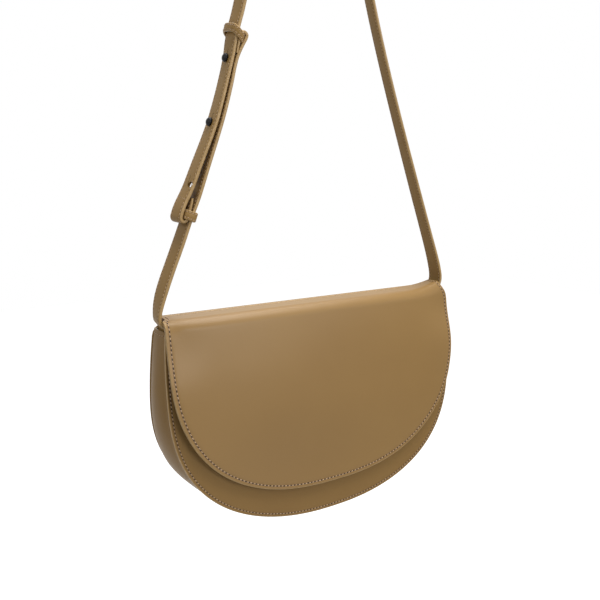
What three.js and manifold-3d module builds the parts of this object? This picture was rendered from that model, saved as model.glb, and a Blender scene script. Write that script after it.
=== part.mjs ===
// Half moon shoulder bag: a leather shell with a D-shaped flap, hung from an adjustable strap.
// Millimetres, +Z up, +Y to the bag's back. The origin is where the strap's inner face hangs.
import * as THREE from 'three';
import { mergeVertices } from 'three/addons/utils/BufferGeometryUtils.js';
import Module from 'manifold-3d';

const wasm = await Module();
wasm.setup();

// Clearances
const gap = 0.3;
const weldTolerance = 1e-4;
const cutOverrun = 6;

// Bag shell, measured over the outer faces of its two walls
const bagHalfWidth = 124.9;
const bagHeight = 153.6;
const topDepth = 20.9;
const bottomDepth = 56.4;
const sideDrop = 48;
const topTuck = 2.6;
const mouthDrop = 5;
const backTopDrop = 2.2;
const cornerAcrossPower = 2.26;
const cornerDownPower = 2.62;

// Sheet thicknesses
const panelLeather = 1.6;
const gussetLeather = 1.2;
const boardThickness = 1.2;
const liningCloth = 0.8;
const facingLeather = 0.9;

// Gusset
const gussetInset = 0.6;
const gussetFoldRadius = 2.2;
const gussetFlange = 9;
const gussetBulge = 1.4;

// Inside of the bag
const boardTopDrop = 9;
const facingHeight = 22;
const sideFacingHeight = 40;
const pocketWidth = 118;
const pocketHeight = 74;
const pocketCornerRadius = 12;
const pocketTopDrop = 34;

// Flap
const flapHalfWidth = bagHalfWidth;
const flapDrop = 132.8;
const flapSideDrop = 34;
const flapAcrossPower = 2.42;
const flapDownPower = 2.22;
const flapLeather = 1.2;
const flapLining = 1;
const flapStandOff = 5;
const roofRise = 2.5;
const roofHalfWidth = 118.6;
const frontFoldRadius = 8;
const backFoldRadius = 4;
const tailHeight = 22;
const tailCornerRadius = 9;

// Closure magnets
const magnetRadius = 7;
const magnetThickness = 0.9;
const magnetDrop = 104;

// Strap
const strapWidth = 14;
const strapThickness = 2.4;
const strapDrop = 480;
const leftTwist = THREE.MathUtils.degToRad(5);
const leftTwistEnd = 40;
const leftSettleStart = 60;
const leftSettleEnd = 180;
const rightTwist = THREE.MathUtils.degToRad(14);
const rightTwistEnd = 130;
const rightSettleStart = 240;
const tabDepth = 38;
const pivotHeight = 10;
const bowHeight = 9;
const leftBowHalfSpan = 121.9;
const rightBowHalfSpan = 124.1;
const bowReach = 6;
const leanHeight = 40;
const leftLeanHalfSpan = 111.5;
const rightLeanHalfSpan = 114.5;
const leftLeanSlope = 0.434;
const rightLeanSlope = 0.393;
const leanReach = 12;
const leftLeanRise = 119;
const rightLeanRise = 197;
const leftArchEase = 134;
const rightArchEase = 175;
const archRadius = 23.5;
const archShift = -4;

// Strap adjuster, heights above the bag's top edge
const lowerFoldHeight = 66;
const upperFoldHeight = 190;
const keeperHeight = 8;
const keeperWall = 1.4;
const keeperCorner = 1.2;
const lowerTail = 14;
const upperTail = 9.5;
const studShift = 0.6;
const upperKeeperShift = 2.5;
const settleRun = 26;
const lowerStudHeight = 129.4;
const upperStudHeight = 170.3;
const holePitch = 43;
const sparePunches = 3;
const punchRadius = 2.1;
const slitLength = 4;
const slitWidth = 0.6;

// Button studs
const studHeadRadius = 3.1;
const studHeadHeight = 2.6;
const studWaist = 0.9;
const studNeckRadius = 1.8;
const studBoreRadius = 1.1;
const studBoreDepth = 2;
const screwShankRadius = 0.8;
const screwHeadRadius = 3;
const screwHeadHeight = 1;

// Facets
const sideSteps = 4;
const cornerSteps = 16;
const foldSteps = 4;
const webSteps = 4;
const legSteps = 24;
const archSteps = 8;
const bendSteps = 8;
const tabSteps = 14;
const shiftSteps = 6;
const roundSteps = 20;

const wallTilt = Math.atan((bottomDepth - topDepth) / 2 / bagHeight);

const leatherMaterial = { color: 0x8f744a, roughness: 0.42, metalness: 0 };
const innerLeatherMaterial = { color: 0x7f6742, roughness: 0.6, metalness: 0 };
const strapMaterial = { color: 0x7d643d, roughness: 0.48, metalness: 0 };
const clothMaterial = { color: 0x9a8158, roughness: 0.85, metalness: 0 };
const boardMaterial = { color: 0x6b5a45, roughness: 0.9, metalness: 0 };
const magnetMaterial = { color: 0x8c8c90, roughness: 0.35, metalness: 1 };
const studMaterial = { color: 0x151517, roughness: 0.3, metalness: 0.6 };

// Solids and cuts

function weld(geometry) {
  const bare = geometry.clone();
  bare.deleteAttribute('normal');
  bare.deleteAttribute('uv');
  return mergeVertices(bare, weldTolerance);
}

function toSolid(geometry) {
  const welded = weld(geometry);
  return new wasm.Manifold(new wasm.Mesh({
    numProp: 3,
    vertProperties: Float32Array.from(welded.attributes.position.array),
    triVerts: Uint32Array.from(welded.index.array),
  }));
}

function toGeometry(solid) {
  const { vertProperties, triVerts, numProp } = solid.getMesh();
  const positions = new Float32Array((vertProperties.length / numProp) * 3);
  for (let i = 0; i < positions.length / 3; i += 1) {
    positions.set(vertProperties.subarray(i * numProp, i * numProp + 3), i * 3);
  }
  const geometry = new THREE.BufferGeometry();
  geometry.setAttribute('position', new THREE.BufferAttribute(positions, 3));
  geometry.setIndex(new THREE.BufferAttribute(Uint32Array.from(triVerts), 1));
  geometry.computeVertexNormals();
  return geometry;
}

function cutAway(geometry, cutters) {
  return toGeometry(cutters.reduce((solid, cutter) => solid.subtract(toSolid(cutter)), toSolid(geometry)));
}

function capTriangles(ring) {
  const origin = ring[0];
  const normal = new THREE.Vector3();
  for (let i = 1; i < ring.length - 1; i += 1) {
    const a = ring[i].clone().sub(origin);
    normal.add(a.cross(ring[i + 1].clone().sub(origin)));
  }
  normal.normalize();
  const across = ring[1].clone().sub(origin).normalize();
  const up = normal.clone().cross(across);
  const flat = ring.map((p) => {
    const arm = p.clone().sub(origin);
    return new THREE.Vector2(arm.dot(across), arm.dot(up));
  });
  const area = ([a, b, c]) => flat[b].clone().sub(flat[a]).cross(flat[c].clone().sub(flat[a]));
  return THREE.ShapeUtils.triangulateShape(flat, []).map((t) => (area(t) < 0 ? [t[0], t[2], t[1]] : t));
}

// A closed solid through rings that all have the same number of points.
function loft(rings) {
  const size = rings[0].length;
  const positions = rings.flatMap((ring) => ring.flatMap((p) => [p.x, p.y, p.z]));
  const index = [];
  for (let r = 0; r < rings.length - 1; r += 1) {
    for (let i = 0; i < size; i += 1) {
      const a = r * size + i;
      const b = r * size + ((i + 1) % size);
      index.push(a, b, b + size, a, b + size, a + size);
    }
  }
  capTriangles(rings[0]).forEach(([a, b, c]) => index.push(a, c, b));
  const last = (rings.length - 1) * size;
  capTriangles(rings[rings.length - 1]).forEach(([a, b, c]) => index.push(last + a, last + b, last + c));
  const geometry = new THREE.BufferGeometry();
  geometry.setAttribute('position', new THREE.Float32BufferAttribute(positions, 3));
  geometry.setIndex(index);
  if (signedVolume(geometry) < 0) {
    geometry.setIndex(index.map((v, i) => index[i - (i % 3) + [0, 2, 1][i % 3]]));
  }
  geometry.computeVertexNormals();
  return geometry;
}

function signedVolume(geometry) {
  const corner = (i) => new THREE.Vector3().fromBufferAttribute(geometry.attributes.position, i);
  const index = geometry.index.array;
  let volume = 0;
  for (let i = 0; i < index.length; i += 3) {
    volume += corner(index[i]).dot(corner(index[i + 1]).cross(corner(index[i + 2])));
  }
  return volume;
}

function plate(outline, thickness, back) {
  const geometry = new THREE.ExtrudeGeometry(new THREE.Shape(outline), { depth: thickness, bevelEnabled: false });
  return geometry.translate(0, 0, back);
}

function mesh(name, geometry, material) {
  const made = new THREE.Mesh(geometry, new THREE.MeshStandardMaterial(material));
  made.name = name;
  return made;
}

function smoothStep(from, to, value) {
  return THREE.MathUtils.smoothstep(value, Math.min(from, to), Math.max(from, to));
}

// Half moon outline, drawn in the plane of a wall: x across, y up from the wall's top edge.

function halfWidthAt(drop) {
  if (drop <= sideDrop) {
    return bagHalfWidth - topTuck * ((sideDrop - drop) / sideDrop) ** 2;
  }
  const share = Math.min((drop - sideDrop) / (bagHeight - sideDrop), 1);
  return bagHalfWidth * (1 - share ** cornerDownPower) ** (1 / cornerAcrossPower);
}

function bagOutline(topDrop) {
  const left = [];
  for (let i = 0; i < sideSteps; i += 1) {
    const drop = THREE.MathUtils.lerp(topDrop, sideDrop, i / sideSteps);
    left.push(new THREE.Vector2(-halfWidthAt(drop), -drop));
  }
  for (let i = 0; i < cornerSteps; i += 1) {
    const turn = (i / cornerSteps) * (Math.PI / 2);
    const drop = sideDrop + (bagHeight - sideDrop) * Math.sin(turn) ** (2 / cornerDownPower);
    left.push(new THREE.Vector2(-halfWidthAt(drop), -drop));
  }
  const right = left.map((p) => new THREE.Vector2(-p.x, p.y)).reverse();
  return [...left, new THREE.Vector2(0, -bagHeight), ...right];
}

// Directions into the bag at each point of the outline; level at its two open ends.
function inwardNormals(outline) {
  return outline.map((p, i) => {
    if (i === 0 || i === outline.length - 1) {
      return new THREE.Vector2(i === 0 ? 1 : -1, 0);
    }
    const along = outline[i + 1].clone().sub(outline[i - 1]).normalize();
    return new THREE.Vector2(-along.y, along.x);
  });
}

function inset(outline, distance) {
  const normals = inwardNormals(outline);
  return outline.map((p, i) => p.clone().addScaledVector(normals[i], distance));
}

// A point of the front wall: x across, y up the wall, n outwards from its outer face.
function frontPoint(x, y, n) {
  return new THREE.Vector3(
    x,
    -topDepth / 2 + y * Math.sin(wallTilt) - n * Math.cos(wallTilt),
    y * Math.cos(wallTilt) + n * Math.sin(wallTilt),
  );
}

function wallMatrix() {
  const turn = new THREE.Matrix4().makeRotationX(Math.PI / 2 - wallTilt);
  return turn.setPosition(0, -topDepth / 2, 0);
}

function wallGroup(turn) {
  const plane = new THREE.Group();
  plane.position.set(0, -topDepth / 2, 0);
  plane.rotation.x = Math.PI / 2 - wallTilt;
  const side = new THREE.Group();
  side.rotation.z = turn;
  side.add(plane);
  return { side, plane };
}

// Depths of the layers below a wall's outer face
const flangeFace = -(panelLeather + gap);
const boardFace = flangeFace;
const boardBack = boardFace - boardThickness;
const liningFace = Math.min(boardBack, flangeFace - gussetLeather) - gap;
const liningBack = liningFace - liningCloth;
const facingBack = liningFace - facingLeather;

function wallPanel(topDrop) {
  return plate(bagOutline(topDrop), panelLeather, -panelLeather);
}

function wallBoard(holes) {
  const outline = inset(bagOutline(boardTopDrop), gussetFlange + gap);
  const board = plate(outline, boardThickness, boardBack);
  return holes.length ? cutAway(board, holes) : board;
}

function insideOutline(topDrop) {
  return inset(bagOutline(topDrop), gussetInset + gussetLeather + gap + liningCloth + gap);
}

function wallLining() {
  const outline = insideOutline(mouthDrop + facingHeight + gap);
  return plate(outline, liningCloth, liningBack);
}

function wallFacing() {
  const lowEdge = mouthDrop + facingHeight;
  const stations = [mouthDrop, (mouthDrop + lowEdge) / 2, lowEdge];
  const reach = facingSideReach();
  const left = stations.map((drop) => new THREE.Vector2(reach - halfWidthAt(drop), -drop));
  const right = left.map((p) => new THREE.Vector2(-p.x, p.y)).reverse();
  return plate([...left, ...right], facingLeather, facingBack);
}

// How far inside the outline the wall facings stop, clear of the side facings over the strap ends
function facingSideReach() {
  return gussetInset + gussetLeather + strapThickness + facingLeather + 4 * gap;
}

function punch(radius, depth, back) {
  const drill = new THREE.CylinderGeometry(radius, radius, depth, roundSteps);
  drill.rotateX(Math.PI / 2);
  return drill.translate(0, -magnetDrop, back + depth / 2);
}

function slipPocket() {
  const outline = new THREE.Shape();
  const half = pocketWidth / 2;
  const top = -pocketTopDrop;
  const foot = top - pocketHeight;
  outline.moveTo(-half, top);
  outline.lineTo(-half, foot + pocketCornerRadius);
  outline.absarc(-half + pocketCornerRadius, foot + pocketCornerRadius, pocketCornerRadius, Math.PI, Math.PI * 1.5);
  outline.lineTo(half - pocketCornerRadius, foot);
  outline.absarc(half - pocketCornerRadius, foot + pocketCornerRadius, pocketCornerRadius, -Math.PI / 2, 0);
  outline.lineTo(half, top);
  const settings = { depth: liningCloth, bevelEnabled: false, curveSegments: foldSteps };
  const pocket = new THREE.ExtrudeGeometry(outline, settings);
  return pocket.translate(0, 0, liningBack - gap - liningCloth);
}

// Gusset: one band with both edges turned in under the walls

function mirrorDepth(p) {
  return new THREE.Vector3(p.x, -p.y, p.z);
}

function foldCorner(point, normal, radius, inner) {
  const corner = [];
  for (let i = 0; i <= foldSteps; i += 1) {
    const turn = (i / foldSteps) * (Math.PI / 2);
    const across = gussetInset + gussetFoldRadius - (radius * Math.sin(turn));
    const depth = flangeFace - gussetFoldRadius + (radius * Math.cos(turn));
    corner.push(frontPoint(point.x + normal.x * across, point.y + normal.y * across, depth));
  }
  return inner ? corner.reverse() : corner;
}

function webLine(front, normal) {
  const back = mirrorDepth(front);
  const line = [];
  for (let i = 1; i < webSteps; i += 1) {
    const share = i / webSteps;
    const rise = gussetBulge * (1 - (2 * share - 1) ** 2);
    const p = front.clone().lerp(back, share);
    line.push(p.add(new THREE.Vector3(-normal.x * rise, 0, -normal.y * rise)));
  }
  return line;
}

function gussetRing(point, normal) {
  const at = (across, depth) => frontPoint(point.x + normal.x * across, point.y + normal.y * across, depth);
  const outer = [at(gussetFlange, flangeFace), ...foldCorner(point, normal, gussetFoldRadius, false)];
  const innerRadius = gussetFoldRadius - gussetLeather;
  const inner = [...foldCorner(point, normal, innerRadius, true), at(gussetFlange, flangeFace - gussetLeather)];
  const outerWeb = webLine(outer[outer.length - 1], normal);
  const innerWeb = webLine(inner[0], normal);
  const outerBack = outer.map(mirrorDepth).reverse();
  const innerBack = inner.map(mirrorDepth).reverse();
  return [...outer, ...outerWeb, ...outerBack, ...innerBack, ...innerWeb.reverse(), ...inner];
}

function gussetBand() {
  const outline = bagOutline(mouthDrop);
  const normals = inwardNormals(outline);
  return loft(outline.map((p, i) => gussetRing(p, normals[i])));
}

// A band inside the gusset, between the two wall linings.
function insideBand(point, normal, face, thickness) {
  const depth = liningBack - gap;
  const at = (across) => frontPoint(point.x + normal.x * across, point.y + normal.y * across, depth);
  const outer = at(face);
  const inner = at(face + thickness);
  return [outer, mirrorDepth(outer), mirrorDepth(inner), inner];
}

const gussetBack = gussetInset + gussetLeather;

function gussetLining() {
  const outline = bagOutline(mouthDrop + sideFacingHeight + gap);
  const normals = inwardNormals(outline);
  return loft(outline.map((p, i) => insideBand(p, normals[i], gussetBack + gap, liningCloth)));
}

function sideFacing(side) {
  const level = new THREE.Vector2(side, 0);
  const overStrap = gussetBack + strapThickness + 2 * gap;
  const rings = [];
  for (let i = 0; i <= bendSteps; i += 1) {
    const drop = mouthDrop + sideFacingHeight * (i / bendSteps);
    const point = new THREE.Vector2(-side * halfWidthAt(drop), -drop);
    rings.push(insideBand(point, level, overStrap, facingLeather));
  }
  return loft(rings);
}

// Flap: one sheet that runs up the back, over the mouth and down the front.
// Its section lies in the plane x = 0; each station holds a point, its outward normal and
// how far the sheet reaches to each side there.

const frontNormal = new THREE.Vector3(0, -Math.cos(wallTilt), Math.sin(wallTilt));
const upNormal = new THREE.Vector3(0, 0, 1);
const backNormal = mirrorDepth(frontNormal);

function foldCentre(normal, faceOffset, radius) {
  const onFace = frontPoint(0, 0, faceOffset);
  const face = normal.y < 0 ? onFace : mirrorDepth(onFace);
  const level = roofRise - radius;
  const y = face.y + ((face.z - level) * normal.z - radius) / normal.y;
  return new THREE.Vector3(0, y, level);
}

const frontFoldCentre = foldCentre(frontNormal, flapStandOff, frontFoldRadius);
const backFoldCentre = foldCentre(backNormal, gap + flapLeather, backFoldRadius);
const quarterTurn = Math.PI / 2 - wallTilt;

// Half width of the roof and of the flap's front, by the height of the sheet's outer face.
function flapReach(z, overRoof) {
  const drop = roofRise - z;
  if (overRoof) {
    return roofHalfWidth;
  }
  if (drop <= flapSideDrop) {
    const rise = (flapSideDrop - drop) / flapSideDrop;
    return flapHalfWidth - (flapHalfWidth - roofHalfWidth) * rise ** 3;
  }
  const share = Math.min((drop - flapSideDrop) / (flapDrop - flapSideDrop), 1);
  return flapHalfWidth * (1 - share ** flapDownPower) ** (1 / flapAcrossPower);
}

function arcStations(centre, radius, from, to, sign, overRoof) {
  const stations = [];
  for (let i = 0; i <= foldSteps; i += 1) {
    const turn = THREE.MathUtils.lerp(from, to, i / foldSteps);
    const normal = new THREE.Vector3(0, sign * Math.sin(turn), Math.cos(turn));
    const point = centre.clone().addScaledVector(normal, radius);
    stations.push({ point, normal, reach: flapReach(point.z, overRoof) });
  }
  return stations;
}

function sheet(stations, face, thickness) {
  return loft(stations.map(({ point, normal, reach }) => {
    const at = (side, depth) => {
      const p = point.clone().addScaledVector(normal, -depth);
      return p.setX(side * reach);
    };
    return [at(-1, face), at(1, face), at(1, face + thickness), at(-1, face + thickness)];
  }));
}

const foldSplit = quarterTurn / 2;
const backHalfGap = gap / 2 / backFoldRadius;
const frontHalfGap = gap / 2 / frontFoldRadius;

function tailStations() {
  const top = backFoldCentre.clone().addScaledVector(backNormal, backFoldRadius);
  const down = new THREE.Vector3(0, Math.sin(wallTilt), -Math.cos(wallTilt));
  const stations = [];
  for (let i = 0; i <= foldSteps; i += 1) {
    const turn = (i / foldSteps) * (Math.PI / 2);
    const run = tailHeight - tailCornerRadius * (1 - Math.sin(turn));
    const reach = roofHalfWidth - tailCornerRadius * (1 - Math.cos(turn));
    stations.unshift({ point: top.clone().addScaledVector(down, run), normal: backNormal, reach });
  }
  stations.push({ point: top, normal: backNormal, reach: roofHalfWidth });
  const arc = arcStations(backFoldCentre, backFoldRadius, quarterTurn, foldSplit + backHalfGap, 1, true);
  return [...stations, ...arc.slice(1)];
}

function roofStations() {
  const back = arcStations(backFoldCentre, backFoldRadius, foldSplit - backHalfGap, 0, 1, true);
  const front = arcStations(frontFoldCentre, frontFoldRadius, 0, foldSplit - frontHalfGap, -1, false);
  return [...back, ...front];
}

function frontStations() {
  const arc = arcStations(frontFoldCentre, frontFoldRadius, foldSplit + frontHalfGap, quarterTurn, -1, false);
  const top = arc[arc.length - 1].point;
  const down = new THREE.Vector3(0, -Math.sin(wallTilt), -Math.cos(wallTilt));
  const drops = [];
  const arcDrop = roofRise - top.z;
  for (let i = 1; i <= sideSteps; i += 1) {
    drops.push(THREE.MathUtils.lerp(arcDrop, flapSideDrop, i / sideSteps));
  }
  for (let i = 1; i < cornerSteps; i += 1) {
    const turn = (i / cornerSteps) * (Math.PI / 2);
    drops.push(flapSideDrop + (flapDrop - flapSideDrop) * Math.sin(turn) ** (2 / flapDownPower));
  }
  const straight = drops.map((drop) => {
    const point = top.clone().addScaledVector(down, (drop - arcDrop) / Math.cos(wallTilt));
    return { point, normal: frontNormal, reach: flapReach(point.z, false) };
  });
  return [...arc, ...straight];
}

// Pockets for the flap's magnet, sunk alike into its leather and its lining
const magnetSeat = (magnetThickness + gap) / 2;
const flapSeam = flapStandOff - flapLeather - gap / 2;

function flapMagnetSeat() {
  const depth = 2 * magnetSeat + gap;
  return punch(magnetRadius + gap, depth, flapSeam - depth / 2).applyMatrix4(wallMatrix());
}

// Strap route: from inside the gusset, out over the hem, up the lean and round the hanging arch

const archHeight = strapDrop + strapThickness / 2 - archRadius;

const legs = {
  left: {
    side: -1,
    bow: leftBowHalfSpan,
    lean: leftLeanHalfSpan,
    slope: leftLeanSlope,
    rise: leftLeanRise,
    ease: leftArchEase,
    twist: leftTwist,
    twistEnd: leftTwistEnd,
    settleStart: leftSettleStart,
    settleEnd: leftSettleEnd,
  },
  right: {
    side: 1,
    bow: rightBowHalfSpan,
    lean: rightLeanHalfSpan,
    slope: rightLeanSlope,
    rise: rightLeanRise,
    ease: rightArchEase,
    twist: rightTwist,
    twistEnd: rightTwistEnd,
    settleStart: rightSettleStart,
    settleEnd: archHeight,
  },
};

function legRoute({ side, bow: bowSpan, lean: leanSpan, slope, rise, ease }) {
  const xz = (x, z) => new THREE.Vector3(x, 0, z);
  const tuckedIn = (drop) => halfWidthAt(drop) - gussetBack - gap - strapThickness / 2;
  const foot = xz(side * tuckedIn(tabDepth), -tabDepth);
  const hem = xz(side * tuckedIn(mouthDrop), -mouthDrop);
  const footSlope = (2 * topTuck * (sideDrop - tabDepth)) / sideDrop ** 2;
  const halfRise = (tabDepth - mouthDrop) / 2;
  const tabBend = xz(foot.x - side * footSlope * halfRise, foot.z + halfRise);
  const bow = xz(side * bowSpan, bowHeight);
  const lean = xz(side * leanSpan, leanHeight);
  const archEnd = xz(archShift + side * archRadius, archHeight);
  const apex = xz(archShift, archHeight + archRadius);
  const roundness = (4 / 3) * Math.tan(Math.PI / 8) * archRadius;
  const route = new THREE.CurvePath();
  route.add(new THREE.QuadraticBezierCurve3(foot, tabBend, hem));
  route.add(new THREE.CubicBezierCurve3(
    hem,
    xz(hem.x, hem.z + bowReach / 2),
    xz(bow.x, bow.z - bowReach),
    bow,
  ));
  route.add(new THREE.CubicBezierCurve3(
    bow,
    xz(bow.x, bow.z + bowReach),
    xz(lean.x + side * slope * leanReach, lean.z - leanReach),
    lean,
  ));
  route.add(new THREE.CubicBezierCurve3(
    lean,
    xz(lean.x - side * slope * rise, lean.z + rise),
    xz(archEnd.x, archEnd.z - ease),
    archEnd,
  ));
  route.add(new THREE.CubicBezierCurve3(
    archEnd,
    xz(archEnd.x, archEnd.z + roundness),
    xz(apex.x + side * roundness, apex.z),
    apex,
  ));
  return route;
}

const routes = { left: legRoute(legs.left), right: legRoute(legs.right) };

function runAtHeight(route, height) {
  let low = 0;
  let high = route.getLength();
  while (high - low > gap / 100) {
    const middle = (low + high) / 2;
    if (route.getPointAt(middle / route.getLength()).z < height) {
      low = middle;
    } else {
      high = middle;
    }
  }
  return low;
}

// The strap's frame at a run along its route: up the strap, across it and outwards from it.
// Above the pivot the strap's back edge turns a little outwards, and settles again higher up.
function strapFrame(route, run) {
  const share = THREE.MathUtils.clamp(run / route.getLength(), 0, 1);
  const point = route.getPointAt(share);
  const up = route.getTangentAt(share);
  const leg = route === routes.left ? legs.left : legs.right;
  const level = new THREE.Vector3(leg.side * up.z, 0, -leg.side * up.x);
  const settle = smoothStep(leg.settleStart, leg.settleEnd, point.z);
  const twist = leg.twist * smoothStep(pivotHeight, leg.twistEnd, point.z) * (1 - settle);
  const back = new THREE.Vector3(0, 1, 0);
  const across = back.clone().multiplyScalar(Math.cos(twist)).addScaledVector(level, Math.sin(twist));
  const out = level.multiplyScalar(Math.cos(twist)).addScaledVector(back, -Math.sin(twist));
  return { point, up, across, out };
}

// A strap layer through stations; each has a point and the direction across the strap.
// near and far are measured from the middle of the strap's thickness towards its face.
function ribbon(stations, faceDirection, near, far) {
  const rings = stations.map(({ point, across }, i) => {
    const ahead = stations[Math.min(i + 1, stations.length - 1)].point;
    const behind = stations[Math.max(i - 1, 0)].point;
    const along = ahead.clone().sub(behind).normalize();
    const face = across.clone().cross(along).normalize().multiplyScalar(faceDirection);
    const at = (side, depth) => {
      const p = point.clone().addScaledVector(across, (side * strapWidth) / 2);
      return p.addScaledVector(face, depth);
    };
    return [at(-1, near), at(1, near), at(1, far), at(-1, far)];
  });
  return loft(rings);
}

function stationsAlong(route, fromRun, toRun, count) {
  const stations = [];
  for (let i = 0; i <= count; i += 1) {
    const { point, across } = strapFrame(route, THREE.MathUtils.lerp(fromRun, toRun, i / count));
    stations.push({ point, across });
  }
  return stations;
}

// Half turn of a folded strap end, from one side of the fold to the other, then its tail
function foldStations(frame, shift, turnSide, heading, tail) {
  const centre = frame.point.clone().addScaledVector(frame.out, shift + turnSide * foldRadius);
  const stations = [];
  for (let i = 0; i <= bendSteps; i += 1) {
    const turn = (i / bendSteps) * Math.PI;
    const point = centre.clone()
      .addScaledVector(frame.out, -turnSide * foldRadius * Math.cos(turn))
      .addScaledVector(frame.up, heading * foldRadius * Math.sin(turn));
    stations.push({ point, across: frame.across });
  }
  const last = stations[stations.length - 1].point;
  const tip = last.clone().addScaledVector(frame.up, -heading * tail);
  stations.push({ point: tip, across: frame.across });
  return stations;
}

// Spacings through the adjuster's stack: strap against strap, and a strap end folded round a keeper wall
const layerPitch = strapThickness + gap;
const foldPitch = strapThickness + keeperWall + 2 * gap;
const foldRadius = foldPitch / 2;
const stackPitch = layerPitch + foldPitch;

const leftRuns = {
  lowerFold: runAtHeight(routes.left, lowerFoldHeight),
  upperFold: runAtHeight(routes.left, upperFoldHeight),
  lowerStud: runAtHeight(routes.left, lowerStudHeight),
  upperStud: runAtHeight(routes.left, upperStudHeight),
};
const lowerKeeperRun = leftRuns.lowerFold + keeperHeight / 2 + gap;
const upperKeeperRun = leftRuns.upperFold - keeperHeight / 2 - gap;
const keeperReach = keeperHeight / 2 + 2 * gap;
const studReach = studHeadRadius + gap;

// Shifts off the route, outwards positive. The long strap passes over the folded tail at its end
// and lies on the short strap between the studs; the two part again at the upper keeper.
const shortShifts = [
  [leftRuns.lowerFold, 0],
  [lowerKeeperRun + keeperReach, 0],
  [leftRuns.lowerStud - studReach, -studShift],
  [leftRuns.lowerStud + studReach, -studShift],
  [leftRuns.upperStud - studReach, studShift - layerPitch],
  [leftRuns.upperStud + studReach, studShift - layerPitch],
  [upperKeeperRun - keeperReach, upperKeeperShift - stackPitch],
  [leftRuns.upperFold, upperKeeperShift - stackPitch],
];
const longShifts = [
  [leftRuns.lowerFold, stackPitch],
  [lowerKeeperRun + keeperReach, stackPitch],
  [leftRuns.lowerStud - studReach, layerPitch - studShift],
  [leftRuns.lowerStud + studReach, layerPitch - studShift],
  [leftRuns.upperStud - studReach, studShift],
  [leftRuns.upperStud + studReach, studShift],
  [upperKeeperRun - keeperReach, upperKeeperShift],
  [leftRuns.upperFold, upperKeeperShift],
  [leftRuns.upperFold + settleRun, 0],
];

function shiftAt(shifts, run) {
  const next = shifts.findIndex(([at]) => at > run);
  if (next <= 0) {
    return next === 0 ? shifts[0][1] : shifts[shifts.length - 1][1];
  }
  const [from, before] = shifts[next - 1];
  const [to, after] = shifts[next];
  return THREE.MathUtils.lerp(before, after, THREE.MathUtils.smoothstep(run, from, to));
}

function shiftRuns(shifts) {
  return shifts.slice(1).flatMap(([to], i) => {
    const from = shifts[i][0];
    const count = Math.min(shiftSteps, Math.ceil((to - from) / strapThickness));
    return Array.from({ length: count }, (_, k) => THREE.MathUtils.lerp(from, to, (k + 1) / count));
  });
}

function shiftedStations(route, runs, shifts) {
  return runs.map((run) => {
    const { point, across, out } = strapFrame(route, run);
    return { point: point.addScaledVector(out, shiftAt(shifts, run)), across };
  });
}

const archRun = { left: runAtHeight(routes.left, archHeight), right: runAtHeight(routes.right, archHeight) };
const roundEndHeight = pivotHeight - strapWidth / 2;
const startRun = {
  left: runAtHeight(routes.left, roundEndHeight),
  right: runAtHeight(routes.right, roundEndHeight),
};
const tabTopHeight = roundEndHeight - gap;
const tabTopRun = {
  left: runAtHeight(routes.left, tabTopHeight + strapThickness),
  right: runAtHeight(routes.right, tabTopHeight + strapThickness),
};

// What is trimmed off a strap's foot to leave it round about the swing axis
function roundEndCutter(side) {
  const centreX = side * bagHalfWidth;
  const block = new THREE.BoxGeometry(strapWidth * 2, strapWidth + cutOverrun, strapWidth / 2 + cutOverrun);
  block.translate(centreX, 0, pivotHeight - (strapWidth / 2 + cutOverrun) / 2);
  const disc = new THREE.CylinderGeometry(strapWidth / 2, strapWidth / 2, strapWidth * 2 + cutOverrun, roundSteps * 2);
  disc.rotateZ(Math.PI / 2).translate(centreX, 0, pivotHeight);
  return toGeometry(toSolid(block).subtract(toSolid(disc)));
}

function placed(geometry, frame, offset) {
  const right = frame.up.clone().cross(frame.out).normalize();
  const basis = new THREE.Matrix4().makeBasis(right, frame.up, frame.out);
  basis.setPosition(frame.point.clone().addScaledVector(frame.out, offset));
  return geometry.applyMatrix4(basis);
}

function punchHole(run) {
  const frame = strapFrame(routes.left, run);
  const drill = new THREE.CylinderGeometry(punchRadius, punchRadius, stackPitch * 3, roundSteps);
  return placed(drill.rotateX(Math.PI / 2), frame, 0);
}

function punchSlit(run) {
  const frame = strapFrame(routes.left, run);
  const knife = new THREE.BoxGeometry(slitWidth, slitLength + punchRadius, stackPitch * 3);
  return placed(knife.translate(0, (slitLength + punchRadius) / 2, 0), frame, 0);
}

function punchRuns() {
  const runs = [leftRuns.lowerStud - holePitch, leftRuns.lowerStud, leftRuns.upperStud];
  for (let i = 1; i <= sparePunches; i += 1) {
    runs.push(leftRuns.upperStud + i * holePitch);
  }
  return runs;
}

function longStrapStations() {
  const { left, right } = routes;
  const foldRun = leftRuns.lowerFold;
  const settled = longShifts[longShifts.length - 1][0];
  const rise = stationsAlong(right, startRun.right, archRun.right, legSteps);
  const over = [
    ...stationsAlong(right, archRun.right, right.getLength(), archSteps),
    ...stationsAlong(left, left.getLength(), archRun.left, archSteps).slice(1),
  ];
  const free = stationsAlong(left, archRun.left, settled, legSteps);
  const runs = [foldRun, ...shiftRuns(longShifts)].reverse();
  const doubled = shiftedStations(left, runs, longShifts);
  const end = foldStations(strapFrame(left, foldRun), stackPitch, -1, -1, lowerTail);
  return [rise, over.slice(1), free.slice(1), doubled.slice(1), end.slice(1)].flat();
}

function shortStrapStations() {
  const { left } = routes;
  const rise = stationsAlong(left, startRun.left, leftRuns.lowerFold, bendSteps * 2);
  const doubled = shiftedStations(left, shiftRuns(shortShifts), shortShifts);
  const fold = strapFrame(left, leftRuns.upperFold);
  const end = foldStations(fold, upperKeeperShift - stackPitch, 1, 1, upperTail);
  return [...rise, ...doubled, ...end.slice(1)];
}

const layers = { face: [gap / 2, strapThickness / 2], backing: [-strapThickness / 2, -gap / 2] };

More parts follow.
